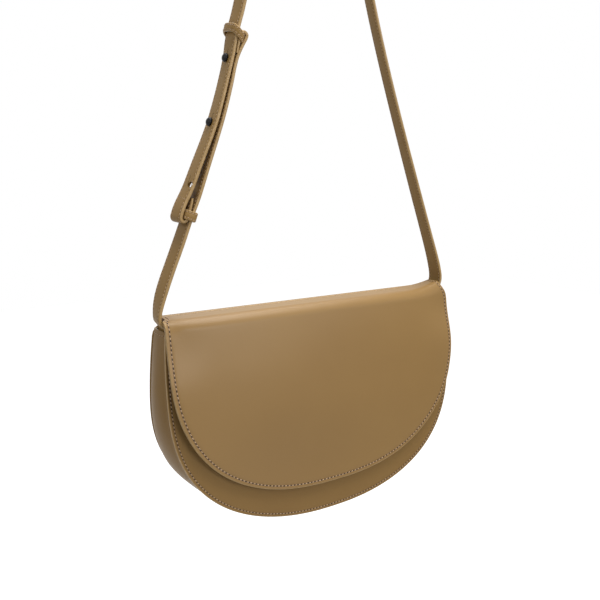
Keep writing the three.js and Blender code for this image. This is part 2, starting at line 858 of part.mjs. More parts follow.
function longStrapLayer(layer) {
  const solid = ribbon(longStrapStations(), 1, ...layers[layer]);
  const cutters = [roundEndCutter(1), ...punchRuns().map(punchHole), ...punchRuns().map(punchSlit)];
  return cutAway(solid, cutters);
}

function shankHole(run) {
  const frame = strapFrame(routes.left, run);
  const radius = screwShankRadius + gap;
  const drill = new THREE.CylinderGeometry(radius, radius, stackPitch * 3, roundSteps);
  return placed(drill.rotateX(Math.PI / 2), frame, 0);
}

function shortStrapLayer(layer) {
  const solid = ribbon(shortStrapStations(), 1, ...layers[layer]);
  const cutters = [roundEndCutter(-1), shankHole(leftRuns.lowerStud), shankHole(leftRuns.upperStud)];
  return cutAway(solid, cutters);
}

// What is taken off a tab's top to leave it level, just under the strap's round foot
function tabTopCutter(side) {
  const block = new THREE.BoxGeometry(strapWidth * 2, strapWidth + cutOverrun, strapWidth);
  return block.translate(side * bagHalfWidth, 0, tabTopHeight + strapWidth / 2);
}

function strapTab(sideName) {
  const route = routes[sideName];
  const stations = stationsAlong(route, 0, tabTopRun[sideName], tabSteps);
  const solid = ribbon(stations, 1, -strapThickness / 2, strapThickness / 2);
  return cutAway(solid, [tabTopCutter(sideName === 'left' ? -1 : 1)]);
}

function keeper(run, centreOffset) {
  const clearWidth = strapWidth + 2 * gap;
  const clearDepth = 2 * strapThickness + 3 * gap;
  const outline = roundedRectangle(clearWidth + 2 * keeperWall, clearDepth + 2 * keeperWall, keeperCorner + keeperWall);
  outline.holes.push(roundedRectangle(clearWidth, clearDepth, gap));
  const settings = { depth: keeperHeight, bevelEnabled: false, curveSegments: foldSteps };
  const band = new THREE.ExtrudeGeometry(outline, settings);
  band.translate(0, 0, -keeperHeight / 2);
  band.rotateX(Math.PI / 2);
  return placed(band, strapFrame(routes.left, run), centreOffset);
}

function roundedRectangle(width, height, radius) {
  const shape = new THREE.Shape();
  const x = width / 2 - radius;
  const y = height / 2 - radius;
  shape.absarc(x, y, radius, 0, Math.PI / 2);
  shape.absarc(-x, y, radius, Math.PI / 2, Math.PI);
  shape.absarc(-x, -y, radius, Math.PI, Math.PI * 1.5);
  shape.absarc(x, -y, radius, Math.PI * 1.5, Math.PI * 2);
  shape.closePath();
  return shape;
}

// Studs: domed head and waist over a neck that seats on the short strap, and a screw from behind

function turned(points) {
  const profile = points.map(([radius, height]) => new THREE.Vector2(radius, height));
  const part = new THREE.LatheGeometry(profile, roundSteps);
  return part.rotateX(Math.PI / 2);
}

function studBody(run) {
  const seat = strapThickness / 2 + gap;
  const underHead = seat + strapThickness + 2 * gap;
  const points = [[studBoreRadius, seat], [studNeckRadius, seat], [studNeckRadius, underHead]];
  const shoulder = studHeadRadius * (2 / 3);
  points.push([shoulder, underHead], [studHeadRadius, underHead + studWaist]);
  for (let i = 1; i < foldSteps; i += 1) {
    const turn = (i / foldSteps) * (Math.PI / 2);
    const dome = studHeadHeight - studWaist;
    points.push([studHeadRadius * Math.cos(turn), underHead + studWaist + dome * Math.sin(turn)]);
  }
  points.push([0, underHead + studHeadHeight], [0, seat + studBoreDepth], [studBoreRadius, seat + studBoreDepth]);
  points.push([studBoreRadius, seat]);
  return placed(turned(points), strapFrame(routes.left, run), shiftAt(shortShifts, run));
}

function studScrew(run) {
  const underStrap = -(strapThickness / 2 + gap);
  const tip = strapThickness / 2 + gap + studBoreDepth - gap;
  const points = [
    [0, underStrap - screwHeadHeight],
    [screwHeadRadius - screwHeadHeight / 2, underStrap - screwHeadHeight],
    [screwHeadRadius, underStrap - screwHeadHeight / 2],
    [screwHeadRadius, underStrap],
    [screwShankRadius, underStrap],
    [screwShankRadius, tip],
    [0, tip],
  ];
  return placed(turned(points), strapFrame(routes.left, run), shiftAt(shortShifts, run));
}

// Assembly

const bag = new THREE.Group();
const front = wallGroup(0);
const back = wallGroup(Math.PI);
bag.add(front.side, back.side);

const boardHole = punch(magnetRadius + gap, boardThickness + cutOverrun, boardBack - cutOverrun / 2);
front.plane.add(
  mesh('front_panel', wallPanel(mouthDrop), leatherMaterial),
  mesh('front_board', wallBoard([boardHole]), boardMaterial),
  mesh('front_facing', wallFacing(), innerLeatherMaterial),
  mesh('front_lining', wallLining(), clothMaterial),
  mesh('closure_magnet_front', punch(magnetRadius, magnetThickness, boardFace - magnetThickness), magnetMaterial),
);
back.plane.add(
  mesh('back_panel', wallPanel(backTopDrop), leatherMaterial),
  mesh('back_board', wallBoard([]), boardMaterial),
  mesh('back_facing', wallFacing(), innerLeatherMaterial),
  mesh('back_lining', wallLining(), clothMaterial),
  mesh('slip_pocket', slipPocket(), clothMaterial),
);
bag.add(
  mesh('gusset', gussetBand(), leatherMaterial),
  mesh('gusset_lining', gussetLining(), clothMaterial),
  mesh('gusset_facing_left', sideFacing(1), innerLeatherMaterial),
  mesh('gusset_facing_right', sideFacing(-1), innerLeatherMaterial),
  mesh('short_strap_tab', strapTab('left'), strapMaterial),
  mesh('long_strap_tab', strapTab('right'), strapMaterial),
);

const liningDepth = flapLeather + gap;
bag.add(
  mesh('flap_tail', sheet(tailStations(), 0, flapLeather), leatherMaterial),
  mesh('flap_roof_leather', sheet(roofStations(), 0, flapLeather), leatherMaterial),
  mesh('flap_roof_lining', sheet(roofStations(), liningDepth, flapLining), innerLeatherMaterial),
  mesh('flap_front_leather', cutAway(sheet(frontStations(), 0, flapLeather), [flapMagnetSeat()]), leatherMaterial),
  mesh(
    'flap_front_lining',
    cutAway(sheet(frontStations(), liningDepth, flapLining), [flapMagnetSeat()]),
    innerLeatherMaterial,
  ),
  mesh(
    'closure_magnet_flap',
    punch(magnetRadius, magnetThickness, flapSeam - magnetThickness / 2).applyMatrix4(wallMatrix()),
    magnetMaterial,
  ),
);

const strap = new THREE.Group();
strap.add(
  mesh('long_strap_face', longStrapLayer('face'), strapMaterial),
  mesh('long_strap_backing', longStrapLayer('backing'), strapMaterial),
  mesh('short_strap_face', shortStrapLayer('face'), strapMaterial),
  mesh('short_strap_backing', shortStrapLayer('backing'), strapMaterial),
  mesh('lower_keeper', keeper(lowerKeeperRun, layerPitch / 2), strapMaterial),
  mesh('upper_keeper', keeper(upperKeeperRun, upperKeeperShift - layerPitch / 2), strapMaterial),
  mesh('lower_stud', studBody(leftRuns.lowerStud), studMaterial),
  mesh('upper_stud', studBody(leftRuns.upperStud), studMaterial),
  mesh('lower_stud_screw', studScrew(leftRuns.lowerStud), studMaterial),
  mesh('upper_stud_screw', studScrew(leftRuns.upperStud), studMaterial),
);

// The hang point under the arch is the part's origin.
const hung = new THREE.Group();
hung.position.set(-archShift, 0, -strapDrop);
hung.add(bag, strap);

const group = new THREE.Group();
group.add(hung);
export default group;
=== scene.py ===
import bpy
import math
import numpy as np
from mathutils import Matrix, Vector
from mathutils.geometry import delaunay_2d_cdt


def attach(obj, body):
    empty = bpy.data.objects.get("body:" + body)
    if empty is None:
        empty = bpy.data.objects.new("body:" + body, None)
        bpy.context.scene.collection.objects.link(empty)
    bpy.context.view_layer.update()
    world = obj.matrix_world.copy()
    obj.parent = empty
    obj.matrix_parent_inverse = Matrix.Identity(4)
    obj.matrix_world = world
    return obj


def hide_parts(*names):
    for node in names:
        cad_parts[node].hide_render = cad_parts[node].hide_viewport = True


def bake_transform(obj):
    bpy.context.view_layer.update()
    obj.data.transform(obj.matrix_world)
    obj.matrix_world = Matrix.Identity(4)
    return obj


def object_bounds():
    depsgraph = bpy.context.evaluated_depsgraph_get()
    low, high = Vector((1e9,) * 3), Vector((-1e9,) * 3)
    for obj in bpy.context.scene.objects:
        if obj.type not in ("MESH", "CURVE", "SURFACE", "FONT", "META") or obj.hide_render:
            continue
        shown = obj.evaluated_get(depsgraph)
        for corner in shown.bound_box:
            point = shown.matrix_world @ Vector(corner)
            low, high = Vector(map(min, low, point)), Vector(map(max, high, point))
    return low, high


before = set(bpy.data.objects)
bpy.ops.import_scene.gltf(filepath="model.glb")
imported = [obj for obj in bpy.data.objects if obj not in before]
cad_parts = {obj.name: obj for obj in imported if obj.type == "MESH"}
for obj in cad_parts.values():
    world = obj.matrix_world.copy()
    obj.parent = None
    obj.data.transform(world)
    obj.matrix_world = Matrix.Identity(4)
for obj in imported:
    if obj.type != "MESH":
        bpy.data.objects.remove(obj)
cadBox = [list(corner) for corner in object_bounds()]
bpy.ops.object.select_all(action="DESELECT")
print("frame loaded:", len(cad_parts), "solids")

# sizes below are in millimetres, from the middle of the bag's top edge: x right, y to the back, z up
bagTop = (4.0, 0.0, -480.0)


def toFrame(points):
    return (np.atleast_2d(np.asarray(points, float)) + bagTop) / 1000


# camera
view = {"turn": 32.98, "rise": 10.98, "distance": 520.0, "acrossShift": 10.07, "upShift": -2.0,
        "focal": 693.04, "picture": 600, "sensor": 36}


def makeCamera():
    turn, rise = math.radians(view["turn"]), math.radians(view["rise"])
    right = Vector((math.cos(turn), -math.sin(turn), 0))
    back = Vector((-math.sin(turn) * math.cos(rise), -math.cos(turn) * math.cos(rise), math.sin(rise)))
    up = back.cross(right)
    place = back * view["distance"] - right * view["acrossShift"] - up * view["upShift"]
    bpy.ops.object.camera_add()
    camera = bpy.context.object
    camera.name = "photoCamera"
    basis = Matrix((right, up, back)).transposed().to_4x4()
    camera.matrix_world = Matrix.Translation(toFrame(place)[0]) @ basis
    camera.data.sensor_width = view["sensor"]
    camera.data.lens = view["focal"] / view["picture"] * view["sensor"]
    camera.data.clip_start = 0.01
    bpy.context.scene.camera = camera


makeCamera()
print("camera set")


# shader maths
class Wire:
    def __init__(self, tree, socket):
        self.tree, self.socket = tree, socket

    def maths(self, operation, *values):
        return self.tree.add("ShaderNodeMath", {"operation": operation}, *values)

    def __add__(self, other): return self.maths("ADD", self, other)
    def __radd__(self, other): return self.maths("ADD", other, self)
    def __sub__(self, other): return self.maths("SUBTRACT", self, other)
    def __rsub__(self, other): return self.maths("SUBTRACT", other, self)
    def __mul__(self, other): return self.maths("MULTIPLY", self, other)
    def __rmul__(self, other): return self.maths("MULTIPLY", other, self)


def rgb(*levels):
    shares = [level / 255 for level in levels]
    return (*[v / 12.92 if v <= 0.04045 else ((v + 0.055) / 1.055) ** 2.4 for v in shares], 1)


class Tree:
    def __init__(self, nodeTree):
        self.nodes, self.links = nodeTree.nodes, nodeTree.links

    def plug(self, socket, value):
        if isinstance(value, Wire):
            self.links.new(value.socket, socket)
        elif value is not None:
            socket.default_value = value

    def add(self, kind, settings=None, *values, out=0, **named):
        node = self.nodes.new(kind)
        for key, value in (settings or {}).items():
            setattr(node, key, value)
        for i, value in enumerate(values):
            self.plug(node.inputs[i], value)
        for key, value in named.items():
            self.plug(node.inputs[key], value)
        return Wire(self, node.outputs[out])

    def place(self, scale=1.0):
        scales = scale if isinstance(scale, tuple) else (scale,) * 3
        spot = self.add("ShaderNodeTexCoord", out="Object")
        return self.add("ShaderNodeMapping", None, spot, Scale=scales)

    def noise(self, scale, detail=3.0, roughness=0.5, stretch=1.0):
        return self.add("ShaderNodeTexNoise", None, Vector=self.place(stretch), Scale=scale, Detail=detail,
                        Roughness=roughness)

    def clamped(self, value, low, high):
        return self.add("ShaderNodeMapRange", {"clamp": True}, value, low, high, 0.0, 1.0)

    # colours are Wires, 0 to 255 in three numbers, or linear in four
    def blendColours(self, factor, *colours):
        ends = [rgb(*c) if isinstance(c, tuple) and len(c) == 3 else c for c in colours]
        return self.add("ShaderNodeMix", {"data_type": "RGBA"}, factor, *[None] * 5, *ends, out=2)

    # 1 where the lens looks, also by way of a reflection or through something
    def seenByLens(self):
        seen = self.add("ShaderNodeLightPath", out="Is Camera Ray")
        for ray in ("Is Glossy Ray", "Is Transmission Ray"):
            seen = seen.maths("MAXIMUM", seen, self.add("ShaderNodeLightPath", out=ray))
        return seen


class Finish(Tree):
    def __init__(self, name):
        self.material = bpy.data.materials.new(name)
        self.material.use_nodes = True
        super().__init__(self.material.node_tree)
        self.shader = self.nodes["Principled BSDF"]

    def set(self, **named):
        for key, value in named.items():
            self.plug(self.shader.inputs[key.replace("_", " ")], value)

    def bump(self, height, strength, distance):
        bumped = self.add("ShaderNodeBump", None, Strength=strength, Distance=distance, Height=height)
        self.set(Normal=bumped)


def leatherFinish(name, tone, deep, roughness, coat, grain):
    finish = Finish(name)
    clouds = finish.clamped(finish.noise(14, 2.0), 0.3, 0.7)
    pores = finish.add("ShaderNodeTexVoronoi", {"feature": "F1"}, Vector=finish.place(), Scale=1300.0)
    hide = finish.noise(620, 4.0, 0.6)
    fleck = finish.clamped(hide, 0.56, 0.75)
    colour = finish.blendColours(clouds * 0.5, tone, deep)
    finish.set(Base_Color=finish.blendColours(fleck * 0.22, colour, deep))
    finish.set(Roughness=roughness + (clouds - 0.5) * 0.05 + (hide - 0.5) * 0.12)
    # painted sheen: the coat is made thicker towards the left and thinner towards the right, so the leather
    # gleams more on its left
    sheenFade = finish.clamped(finish.add("ShaderNodeSeparateXYZ", None, finish.place()), -0.08, 0.09)
    finish.set(Coat_Weight=coat * (1.4 - sheenFade) + (clouds - 0.5) * coat * 0.2)
    finish.set(Coat_Roughness=0.36, Specular_IOR_Level=0.08)
    finish.bump(pores * 0.5 + hide, grain, 0.00025)
    return finish.material


def threadFinish(name, light, dark):
    finish = Finish(name)
    plies = finish.add("ShaderNodeTexWave", {"wave_type": "BANDS", "bands_direction": "DIAGONAL"},
                       Vector=finish.place(), Scale=900.0, Distortion=1.5)
    finish.set(Base_Color=finish.blendColours(plies, dark, light), Roughness=0.6)
    finish.set(Sheen_Weight=0.2, Specular_IOR_Level=0.2)
    finish.bump(plies, 0.3, 0.0001)
    return finish.material


def clothFinish(name, warp, weft):
    finish = Finish(name)
    across, along = (finish.add("ShaderNodeTexWave", {"bands_direction": way}, Vector=finish.place(),
                                Scale=420.0, Distortion=0.6) for way in "XZ")
    slub = finish.noise(300, 3.0)
    weave = across * along
    colour = finish.blendColours(weave, warp, weft)
    finish.set(Base_Color=finish.blendColours(finish.clamped(slub, 0.45, 0.8) * 0.35, colour, warp))
    finish.set(Roughness=0.9, Sheen_Weight=0.25, Sheen_Roughness=0.5)
    finish.bump(weave + slub * 0.4, 0.4, 0.0003)
    return finish.material


def suedeFinish(name, tone, deep, pale):
    finish = Finish(name)
    nap = finish.noise(480, 4.0, 0.7)
    soft = finish.clamped(finish.noise(40, 2.0), 0.3, 0.7)
    colour = finish.blendColours(soft * 0.6, tone, deep)
    finish.set(Base_Color=finish.blendColours(finish.clamped(nap, 0.4, 0.8) * 0.3, colour, pale))
    finish.set(Roughness=0.82 + nap * 0.08, Sheen_Weight=0.15)
    finish.bump(nap, 0.3, 0.0003)
    return finish.material


# one noise for colour, roughness and bump
def plainFinish(name, first, second, noise, rough=None, bump=None, spread=None, **even):
    finish = Finish(name)
    grain = finish.noise(*noise)
    share = finish.clamped(grain, *spread) if spread else grain
    finish.set(Base_Color=finish.blendColours(share, first, second), **even)
    if rough:
        finish.set(Roughness=rough[0] + grain * rough[1])
    if bump:
        finish.bump(grain, *bump)
    return finish.material


finishes = {
    "flap": leatherFinish("flapLeather", (140, 110, 66), (132, 102, 59), 0.42, 0.3, 0.14),
    "shell": leatherFinish("shellLeather", (134, 105, 62), (124, 95, 55), 0.5, 0.1, 0.14),
    "strap": leatherFinish("strapLeather", (144, 114, 68), (132, 103, 59), 0.5, 0.1, 0.2),
    "inner": leatherFinish("innerLeather", (124, 96, 58), (110, 84, 50), 0.62, 0.05, 0.2),
    "paint": plainFinish("edgePaint", (154, 124, 78), (168, 138, 92), (260, 3.0), (0.34, 0.1),
                         (0.12, 0.0003), (0.3, 0.7), Coat_Weight=0.3, Coat_Roughness=0.25,
                         Specular_IOR_Level=0.15),
    "thread": threadFinish("sewingThread", (204, 176, 146), (172, 142, 112)),
    # needle holes are dark discs laid on the leather: painted shade for the hollow of each stitch hole
    "hole": plainFinish("needleHoleShade", (46, 30, 18), (70, 47, 28), (900, 2.0), Roughness=0.75),
    "underside": suedeFinish("flapUnderside", (128, 102, 68), (112, 88, 57), (146, 120, 86)),
    "cloth": clothFinish("liningCloth", (126, 104, 72), (158, 136, 100)),
    "lacquer": plainFinish("blackLacquer", (12, 11, 12), (21, 20, 21), (800, 2.0), (0.3, 0.14),
                           (0.04, 0.0001), Coat_Weight=0.12, Coat_Roughness=0.12, Specular_IOR_Level=0.12),
    "board": plainFinish("fibreBoard", (96, 80, 62), (128, 110, 88), (180, 4.0, 0.7, (1.0, 1.0, 6.0)),
                         (0.85, 0.1), (0.3, 0.0004)),
    "magnet": plainFinish("nickelPlate", (168, 168, 172), (196, 196, 200), (700, 3.0, 0.5, (1.0, 1.0, 0.1)),
                          (0.25, 0.15), Metallic=1.0),
}
print("finishes mixed:", len(finishes))


# bag outline and walls
bag = {"halfWidth": 124.9, "drop": 153.6, "topDepth": 20.9, "bottomDepth": 56.4, "sideDrop": 48.0,
       "topTuck": 2.6, "mouthDrop": 5.0, "backTopDrop": 2.6, "acrossPower": 2.26, "downPower": 2.62,
       "panel": 1.6, "gap": 0.3, "gusset": 1.2, "board": 1.2, "lining": 0.8, "facing": 0.9}
tilt = math.atan((bag["bottomDepth"] - bag["topDepth"]) / 2 / bag["drop"])
sinTilt, cosTilt = math.sin(tilt), math.cos(tilt)


def smoothStep(low, high, value):
    share = np.clip((np.asarray(value, float) - low) / (high - low), 0, 1)
    return share * share * (3 - 2 * share)


def unit(vectors):
    return vectors / np.linalg.norm(vectors, axis=-1, keepdims=True)


def runsAlong(points):
    return np.concatenate([[0], np.cumsum(np.linalg.norm(np.diff(points, axis=0), axis=1))])


def sample(table, runs, at):
    return np.stack([np.interp(at, runs, column) for column in np.asarray(table).T], axis=-1)


def evenly(points, pitch, closed=False):
    points = np.asarray(points, float)
    if closed:
        points = np.vstack([points, points[:1]])
    runs = runsAlong(points)
    spread = sample(points, runs, np.linspace(0, runs[-1], max(2, int(round(runs[-1] / pitch))) + 1))
    return spread[:-1] if closed else spread


def mirrored(left, pitch):
    return evenly(left + [(-x, y) for x, y in reversed(left[:-1])], pitch)


# the left half of a half moon below its straight sides, as x and drop
def roundFoot(shape, steps):
    depth = shape["drop"] - shape["sideDrop"]
    return [(-shape["halfWidth"] * math.cos(turn) ** (2 / shape["acrossPower"]),
             shape["sideDrop"] + depth * math.sin(turn) ** (2 / shape["downPower"]))
            for turn in np.linspace(0, math.pi / 2, steps)]


def bagHalfWidth(drop):
    return bag["halfWidth"] - bag["topTuck"] * ((bag["sideDrop"] - drop) / bag["sideDrop"]) ** 2


def moonCurve(topDrop, pitch):
    left = [(-bagHalfWidth(drop), -drop) for drop in np.linspace(topDrop, bag["sideDrop"], 60)[:-1]]
    return mirrored(left + [(x, -drop) for x, drop in roundFoot(bag, 160)], pitch)


def straightTop(curve, level, count=110):
    return np.vstack([curve, [(x, level) for x in np.linspace(curve[-1][0], curve[0][0], count)[1:-1]]])


def inwardNormals(curve, closed=False):
    if closed:
        along = np.roll(curve, -1, axis=0) - np.roll(curve, 1, axis=0)
    else:
        along = np.gradient(curve, axis=0)
    return unit(along)[:, ::-1] * [-1, 1]


def wallPoint(side, x, y, n):
    depth = -bag["topDepth"] / 2 + y * sinTilt - n * cosTilt
    return np.stack(np.broadcast_arrays(x, side * depth, y * cosTilt + n * sinTilt), axis=-1)


# making meshes
def smoothed(piece, angle, spin=False):
    bpy.ops.object.select_all(action="DESELECT")
    piece.select_set(True)
    bpy.context.view_layer.objects.active = piece
    bpy.ops.object.mode_set(mode="EDIT")
    bpy.ops.mesh.select_all(action="SELECT")
    if spin:
        bpy.ops.mesh.spin(steps=40, angle=2 * math.pi, center=(0, 0, 0), axis=(0, 0, 1))
        bpy.ops.mesh.select_all(action="SELECT")
        bpy.ops.mesh.remove_doubles(threshold=0.001)
    bpy.ops.mesh.normals_make_consistent(inside=False)
    bpy.ops.object.mode_set(mode="OBJECT")
    bpy.ops.object.shade_smooth_by_angle(angle=math.radians(angle))
    piece.select_set(False)
    return piece


def newPiece(name, points, faces, materials, kinds=None, smooth=40):
    mesh = bpy.data.meshes.new(name)
    mesh.from_pydata([tuple(p) for p in toFrame(points)], [],
                     [tuple(int(i) for i in face) for face in faces])
    for material in materials:
        mesh.materials.append(finishes[material])
    if kinds is not None:
        mesh.polygons.foreach_set("material_index", kinds)
    piece = bpy.data.objects.new(name, mesh)
    bpy.context.collection.objects.link(piece)
    return smoothed(piece, smooth)


def carve(piece, cutter, matrix):
    cutter.data.transform(matrix)
    cut = piece.modifiers.new("carve", "BOOLEAN")
    cut.operation, cut.object, cut.solver = "DIFFERENCE", cutter, "EXACT"
    bpy.ops.object.select_all(action="DESELECT")
    bpy.context.view_layer.objects.active = piece
    bpy.ops.object.modifier_apply(modifier=cut.name)
    bpy.data.objects.remove(cutter)


def carveBox(piece, matrix, centre, size):
    bpy.ops.mesh.primitive_cube_add(size=1)
    carve(piece, bpy.context.object, matrix @ Matrix.Translation(centre) @ Matrix.Diagonal((*size, 1)))


def gridFaces(rows, size, closed=False):
    turns = [(row * size, (row + 1) % rows * size) for row in range(rows if closed else rows - 1)]
    return [(a + i, a + (i + 1) % size, b + (i + 1) % size, b + i) for a, b in turns for i in range(size)]


def capFaces(rows, size):
    return [tuple(reversed(range(size))), tuple(range((rows - 1) * size, rows * size))]


def sweep(name, centres, acrosses, outs, section, materials, kinds, closed=False, smooth=40):
    section = np.array(section)[None]
    points = centres[:, None] + acrosses[:, None] * section[..., :1] + outs[:, None] * section[..., 1:]
    count, size = points.shape[:2]
    faces = gridFaces(count, size, closed) + ([] if closed else capFaces(count, size))
    kinds = kinds * (count if closed else count - 1) + [1] * (0 if closed else 2)
    return newPiece(name, points.reshape(-1, 3), faces, materials, kinds, smooth)


def signedArea(loop):
    (x, y), (nextX, nextY) = loop.T, np.roll(loop, -1, axis=0).T
    return 0.5 * np.sum(x * nextY - nextX * y)


def edgeDistance(points, loop):
    best = np.full(len(points), 1e9)
    for start, end in zip(loop, np.roll(loop, -1, axis=0)):
        along = end - start
        share = np.clip(((points - start) @ along) / max(along @ along, 1e-12), 0, 1)
        best = np.minimum(best, np.linalg.norm(points - (start + share[:, None] * along), axis=1))
    return best


def insideLoop(points, loop):
    x, y = points.T
    inside = np.zeros(len(points), bool)
    for (x1, y1), (x2, y2) in zip(loop, np.roll(loop, -1, axis=0)):
        crosses = (y1 > y) != (y2 > y)
        inside ^= crosses & (x < (x2 - x1) * (y - y1) / (y2 - y1 + 1e-12) + x1)
    return inside


# a pressed seam channel, which fades where the flat place says so
def groove(depth, inset, fade=lambda place: 1):
    return lambda points, edge: -depth * np.exp(-((edge - inset) / 0.8) ** 2) * fade(points[:, 1])


# a flat outline cut to triangles with a rounded rim, then laid in place by wrap(x, y, height)
def cutSheet(name, loop, wrap, thickness, materials, insets, xs, ys, relief=groove(0, 0), rim=0.5):
    loop = loop if signedArea(loop) > 0 else loop[::-1]
    count = len(loop)
    inward = inwardNormals(loop, closed=True)
    border = loop + inward * rim
    grid = np.array([(x, y) for x in xs for y in ys], float)
    loose = np.vstack([*[loop + inward * inset for inset in insets], grid])
    keepOff = np.concatenate([np.repeat(np.array(insets) * 0.97, count),
                              np.full(len(grid), max(insets) + 1.2)])
    loose = loose[(edgeDistance(loose, loop) >= keepOff) & insideLoop(loose, loop)]
    flat = [Vector(p) for p in np.vstack([border, loose])]
    cut = delaunay_2d_cdt(flat, [], [list(range(count))], 1, 1e-5, True)
    verts, triangles = np.array([tuple(v) for v in cut[0]]), np.array(cut[2])
    triangles = triangles[insideLoop(verts[triangles].mean(axis=1), border)]
    newIndex = {old: new for new, olds in enumerate(cut[3]) for old in olds}
    ring = [newIndex[i] for i in range(count)]
    lift = relief(verts, edgeDistance(verts, loop))
    size = len(verts)
    points = [wrap(*verts.T, lift), wrap(*verts.T, np.minimum(lift * 0.5, 0) - thickness)]
    turns = np.linspace(0, math.pi / 2, 4)[1:]
    profile = [(rim * (1 - math.sin(t)), -rim * (1 - math.cos(t))) for t in turns]
    profile += [(q, -thickness - n) for q, n in reversed(profile)]
    points += [wrap(*(loop + inward * q).T, np.full(count, n)) for q, n in profile]
    faces = [*triangles, *(triangles[:, ::-1] + size)]
    belts = [ring, *[range(2 * size + k * count, 2 * size + (k + 1) * count) for k in range(len(profile))]]
    belts.append([size + i for i in ring])
    for upper, lower in zip(belts, belts[1:]):
        faces += [(upper[i - 1], lower[i - 1], lower[i], upper[i]) for i in range(count)]
    last, half = len(materials) - 1, len(triangles)
    kinds = [0] * half + [last] * half + [min(1, last)] * (len(faces) - 2 * half)
    return newPiece(name, np.vstack(points), faces, materials, kinds)


# each piece moves with one body; a piece given the ends of a bend between two is only baked where it stands
def fasten(pieces, slotName, *bodies, ends=()):
    for piece in pieces:
        if ends:
            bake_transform(piece)
        else:
            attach(piece, *bodies)


# sewing
# hole sizes the dark disc painted as shade in each needle hole
stitch = {"pitch": 2.95, "share": 0.5, "radius": 0.27, "rise": 0.14, "dip": 0.34, "slant": 9.0, "hole": 0.56,
          "holeStretch": 1.5}
stitchFaces = gridFaces(5, 5) + capFaces(5, 5)
holeFaces = [face for i in range(6) for face in ((i, (i + 1) % 6, 6), ((i + 1) % 6, i, 7))]


# rows holds pairs of a path and its normals; share is how much of the pitch a stitch fills
def sewRow(rows, name, **changes):
    sewn = {**stitch, **changes}
    radius, hole, slant = sewn["radius"], sewn["hole"], math.radians(sewn["slant"])
    stations = np.array([-0.5, -0.36, 0.0, 0.36, 0.5]) * sewn["pitch"] * sewn["share"]
    shoulder = sewn["rise"] * 0.75
    heights = np.array([-sewn["dip"], shoulder, sewn["rise"], shoulder, -sewn["dip"]])
    heights = heights * radius / stitch["radius"]
    fat = np.array([0.55, 1.0, 1.0, 1.0, 0.55])[:, None, None] * radius
    turns, corners = np.arange(5) / 5 * 2 * math.pi, np.arange(6) / 6 * 2 * math.pi
    stitches, holeShades = [], []
    for path, normals in rows:
        runs = runsAlong(path)
        count = int(runs[-1] / sewn["pitch"])
        step = runs[-1] / max(count, 1)
        for k in range(count):
            middle = (k + 0.5) * step
            normal = sample(normals, runs, middle)
            start, end = (sample(path, runs, middle + half) for half in (-step / 2, step / 2))
            along = unit(end - start)
            normal = unit(normal - along * (normal @ along))
            heading = along * math.cos(slant) + np.cross(normal, along) * math.sin(slant)
            aside = np.cross(normal, heading)
            spine = sample(path, runs, middle) + np.outer(stations, heading) + np.outer(heights, normal)
            around = np.outer(np.cos(turns), aside) + np.outer(np.sin(turns), normal)
            stitches.append((spine[:, None] + fat * around).reshape(-1, 3))
            # a dark disc at each stitch end is painted shade for the needle hole
            spot, out = sample(path, runs, k * step), unit(sample(normals, runs, k * step))
            rim = np.outer(np.cos(corners) * stitch["holeStretch"], heading)
            rim = rim + np.outer(np.sin(corners), aside)
            holeShades.append(np.vstack([spot + rim * hole + out * 0.02, spot + out * 0.1, spot - out * 0.16]))
    made = []
    for suffix, shapes, faces, material in (("", stitches, stitchFaces, "thread"),
                                            ("Holes", holeShades, holeFaces, "hole")):
        if suffix and not hole:
            continue
        allFaces = [tuple(i + k * len(shapes[0]) for i in face) for k in range(len(shapes))
                    for face in faces]
        made.append(newPiece(name + suffix, np.vstack(shapes), allFaces, [material], smooth=80))
    return made


# a seam laid on a wrapped surface, inset from the curve there
def sewAlong(name, wrap, curve, inset, height, **changes):
    path = curve + inwardNormals(curve) * inset
    here, above = (wrap(*path.T, np.full(len(path), height + rise)) for rise in (0.0, 1.0))
    return sewRow([(here, above - here)], name, **changes)


# wall panels: side is 1 for the front and -1 for the back
walls = {
    "frontPanel": {"side": 1, "top": bag["mouthDrop"], "corner": 3.0, "edge": "paint", "rim": 0.55},
    # the back panel's rim takes the darker shell leather, not the lighter edge paint: painted shade for the
    # rim that faces away from the light
    "backPanel": {"side": -1, "top": bag["backTopDrop"], "corner": 9.0, "edge": "shell", "rim": 0.75},
}
seam = {"inset": 2.3, "channel": 0.22, "pitch": 2.75, "radius": 0.25, "hole": 0.46}
crown = {"height": 1.1, "halfWidth": 118, "foot": 146}


def closeTop(curve, topDrop, radius):
    kept = curve[-curve[:, 1] > topDrop + radius]
    left, right = kept[0, 0] + radius, kept[-1, 0] - radius
    arcs = [[(centre + radius * math.cos(t), -topDrop - radius + radius * math.sin(t))
             for t in np.linspace(start, start + math.pi / 2, 5)]
            for centre, start in ((right, 0), (left, math.pi / 2))]
    return np.vstack([kept, arcs[0], [(x, -topDrop) for x in np.linspace(right, left, 90)[1:-1]], arcs[1]])


def makeWall(name, side, top, corner, edge, rim):
    def wrap(x, y, n):
        down = np.clip((-y - top) / (crown["foot"] - top), 0, 1)
        swell = crown["height"] * np.clip(1 - (x / crown["halfWidth"]) ** 2, 0, 1) * np.sin(down * math.pi)
        return wallPoint(side, side * x, y, n + swell)

    curve = moonCurve(top, 1.6)
    panel = cutSheet(name, closeTop(curve, top, corner), wrap, bag["panel"], ["shell", edge, "inner"],
                     (1.0, 1.5, 1.9, 2.3, 2.7, 3.2, 4.2, 6.5), np.arange(-120, 121, 8.0),
                     np.arange(-146, -4, 7.0), groove(seam["channel"], seam["inset"]), rim)
    threads = sewAlong(name + "Thread", wrap, curve[-curve[:, 1] > top + corner], seam["inset"],
                       -seam["channel"] / 2, pitch=seam["pitch"], radius=seam["radius"], hole=seam["hole"])
    fasten([panel, *threads], "bag_leather", "bag_shell")
    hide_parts(name.replace("Panel", "_panel"))


for name, wall in walls.items():
    makeWall(name, **wall)
print("wall panels cut and sewn")


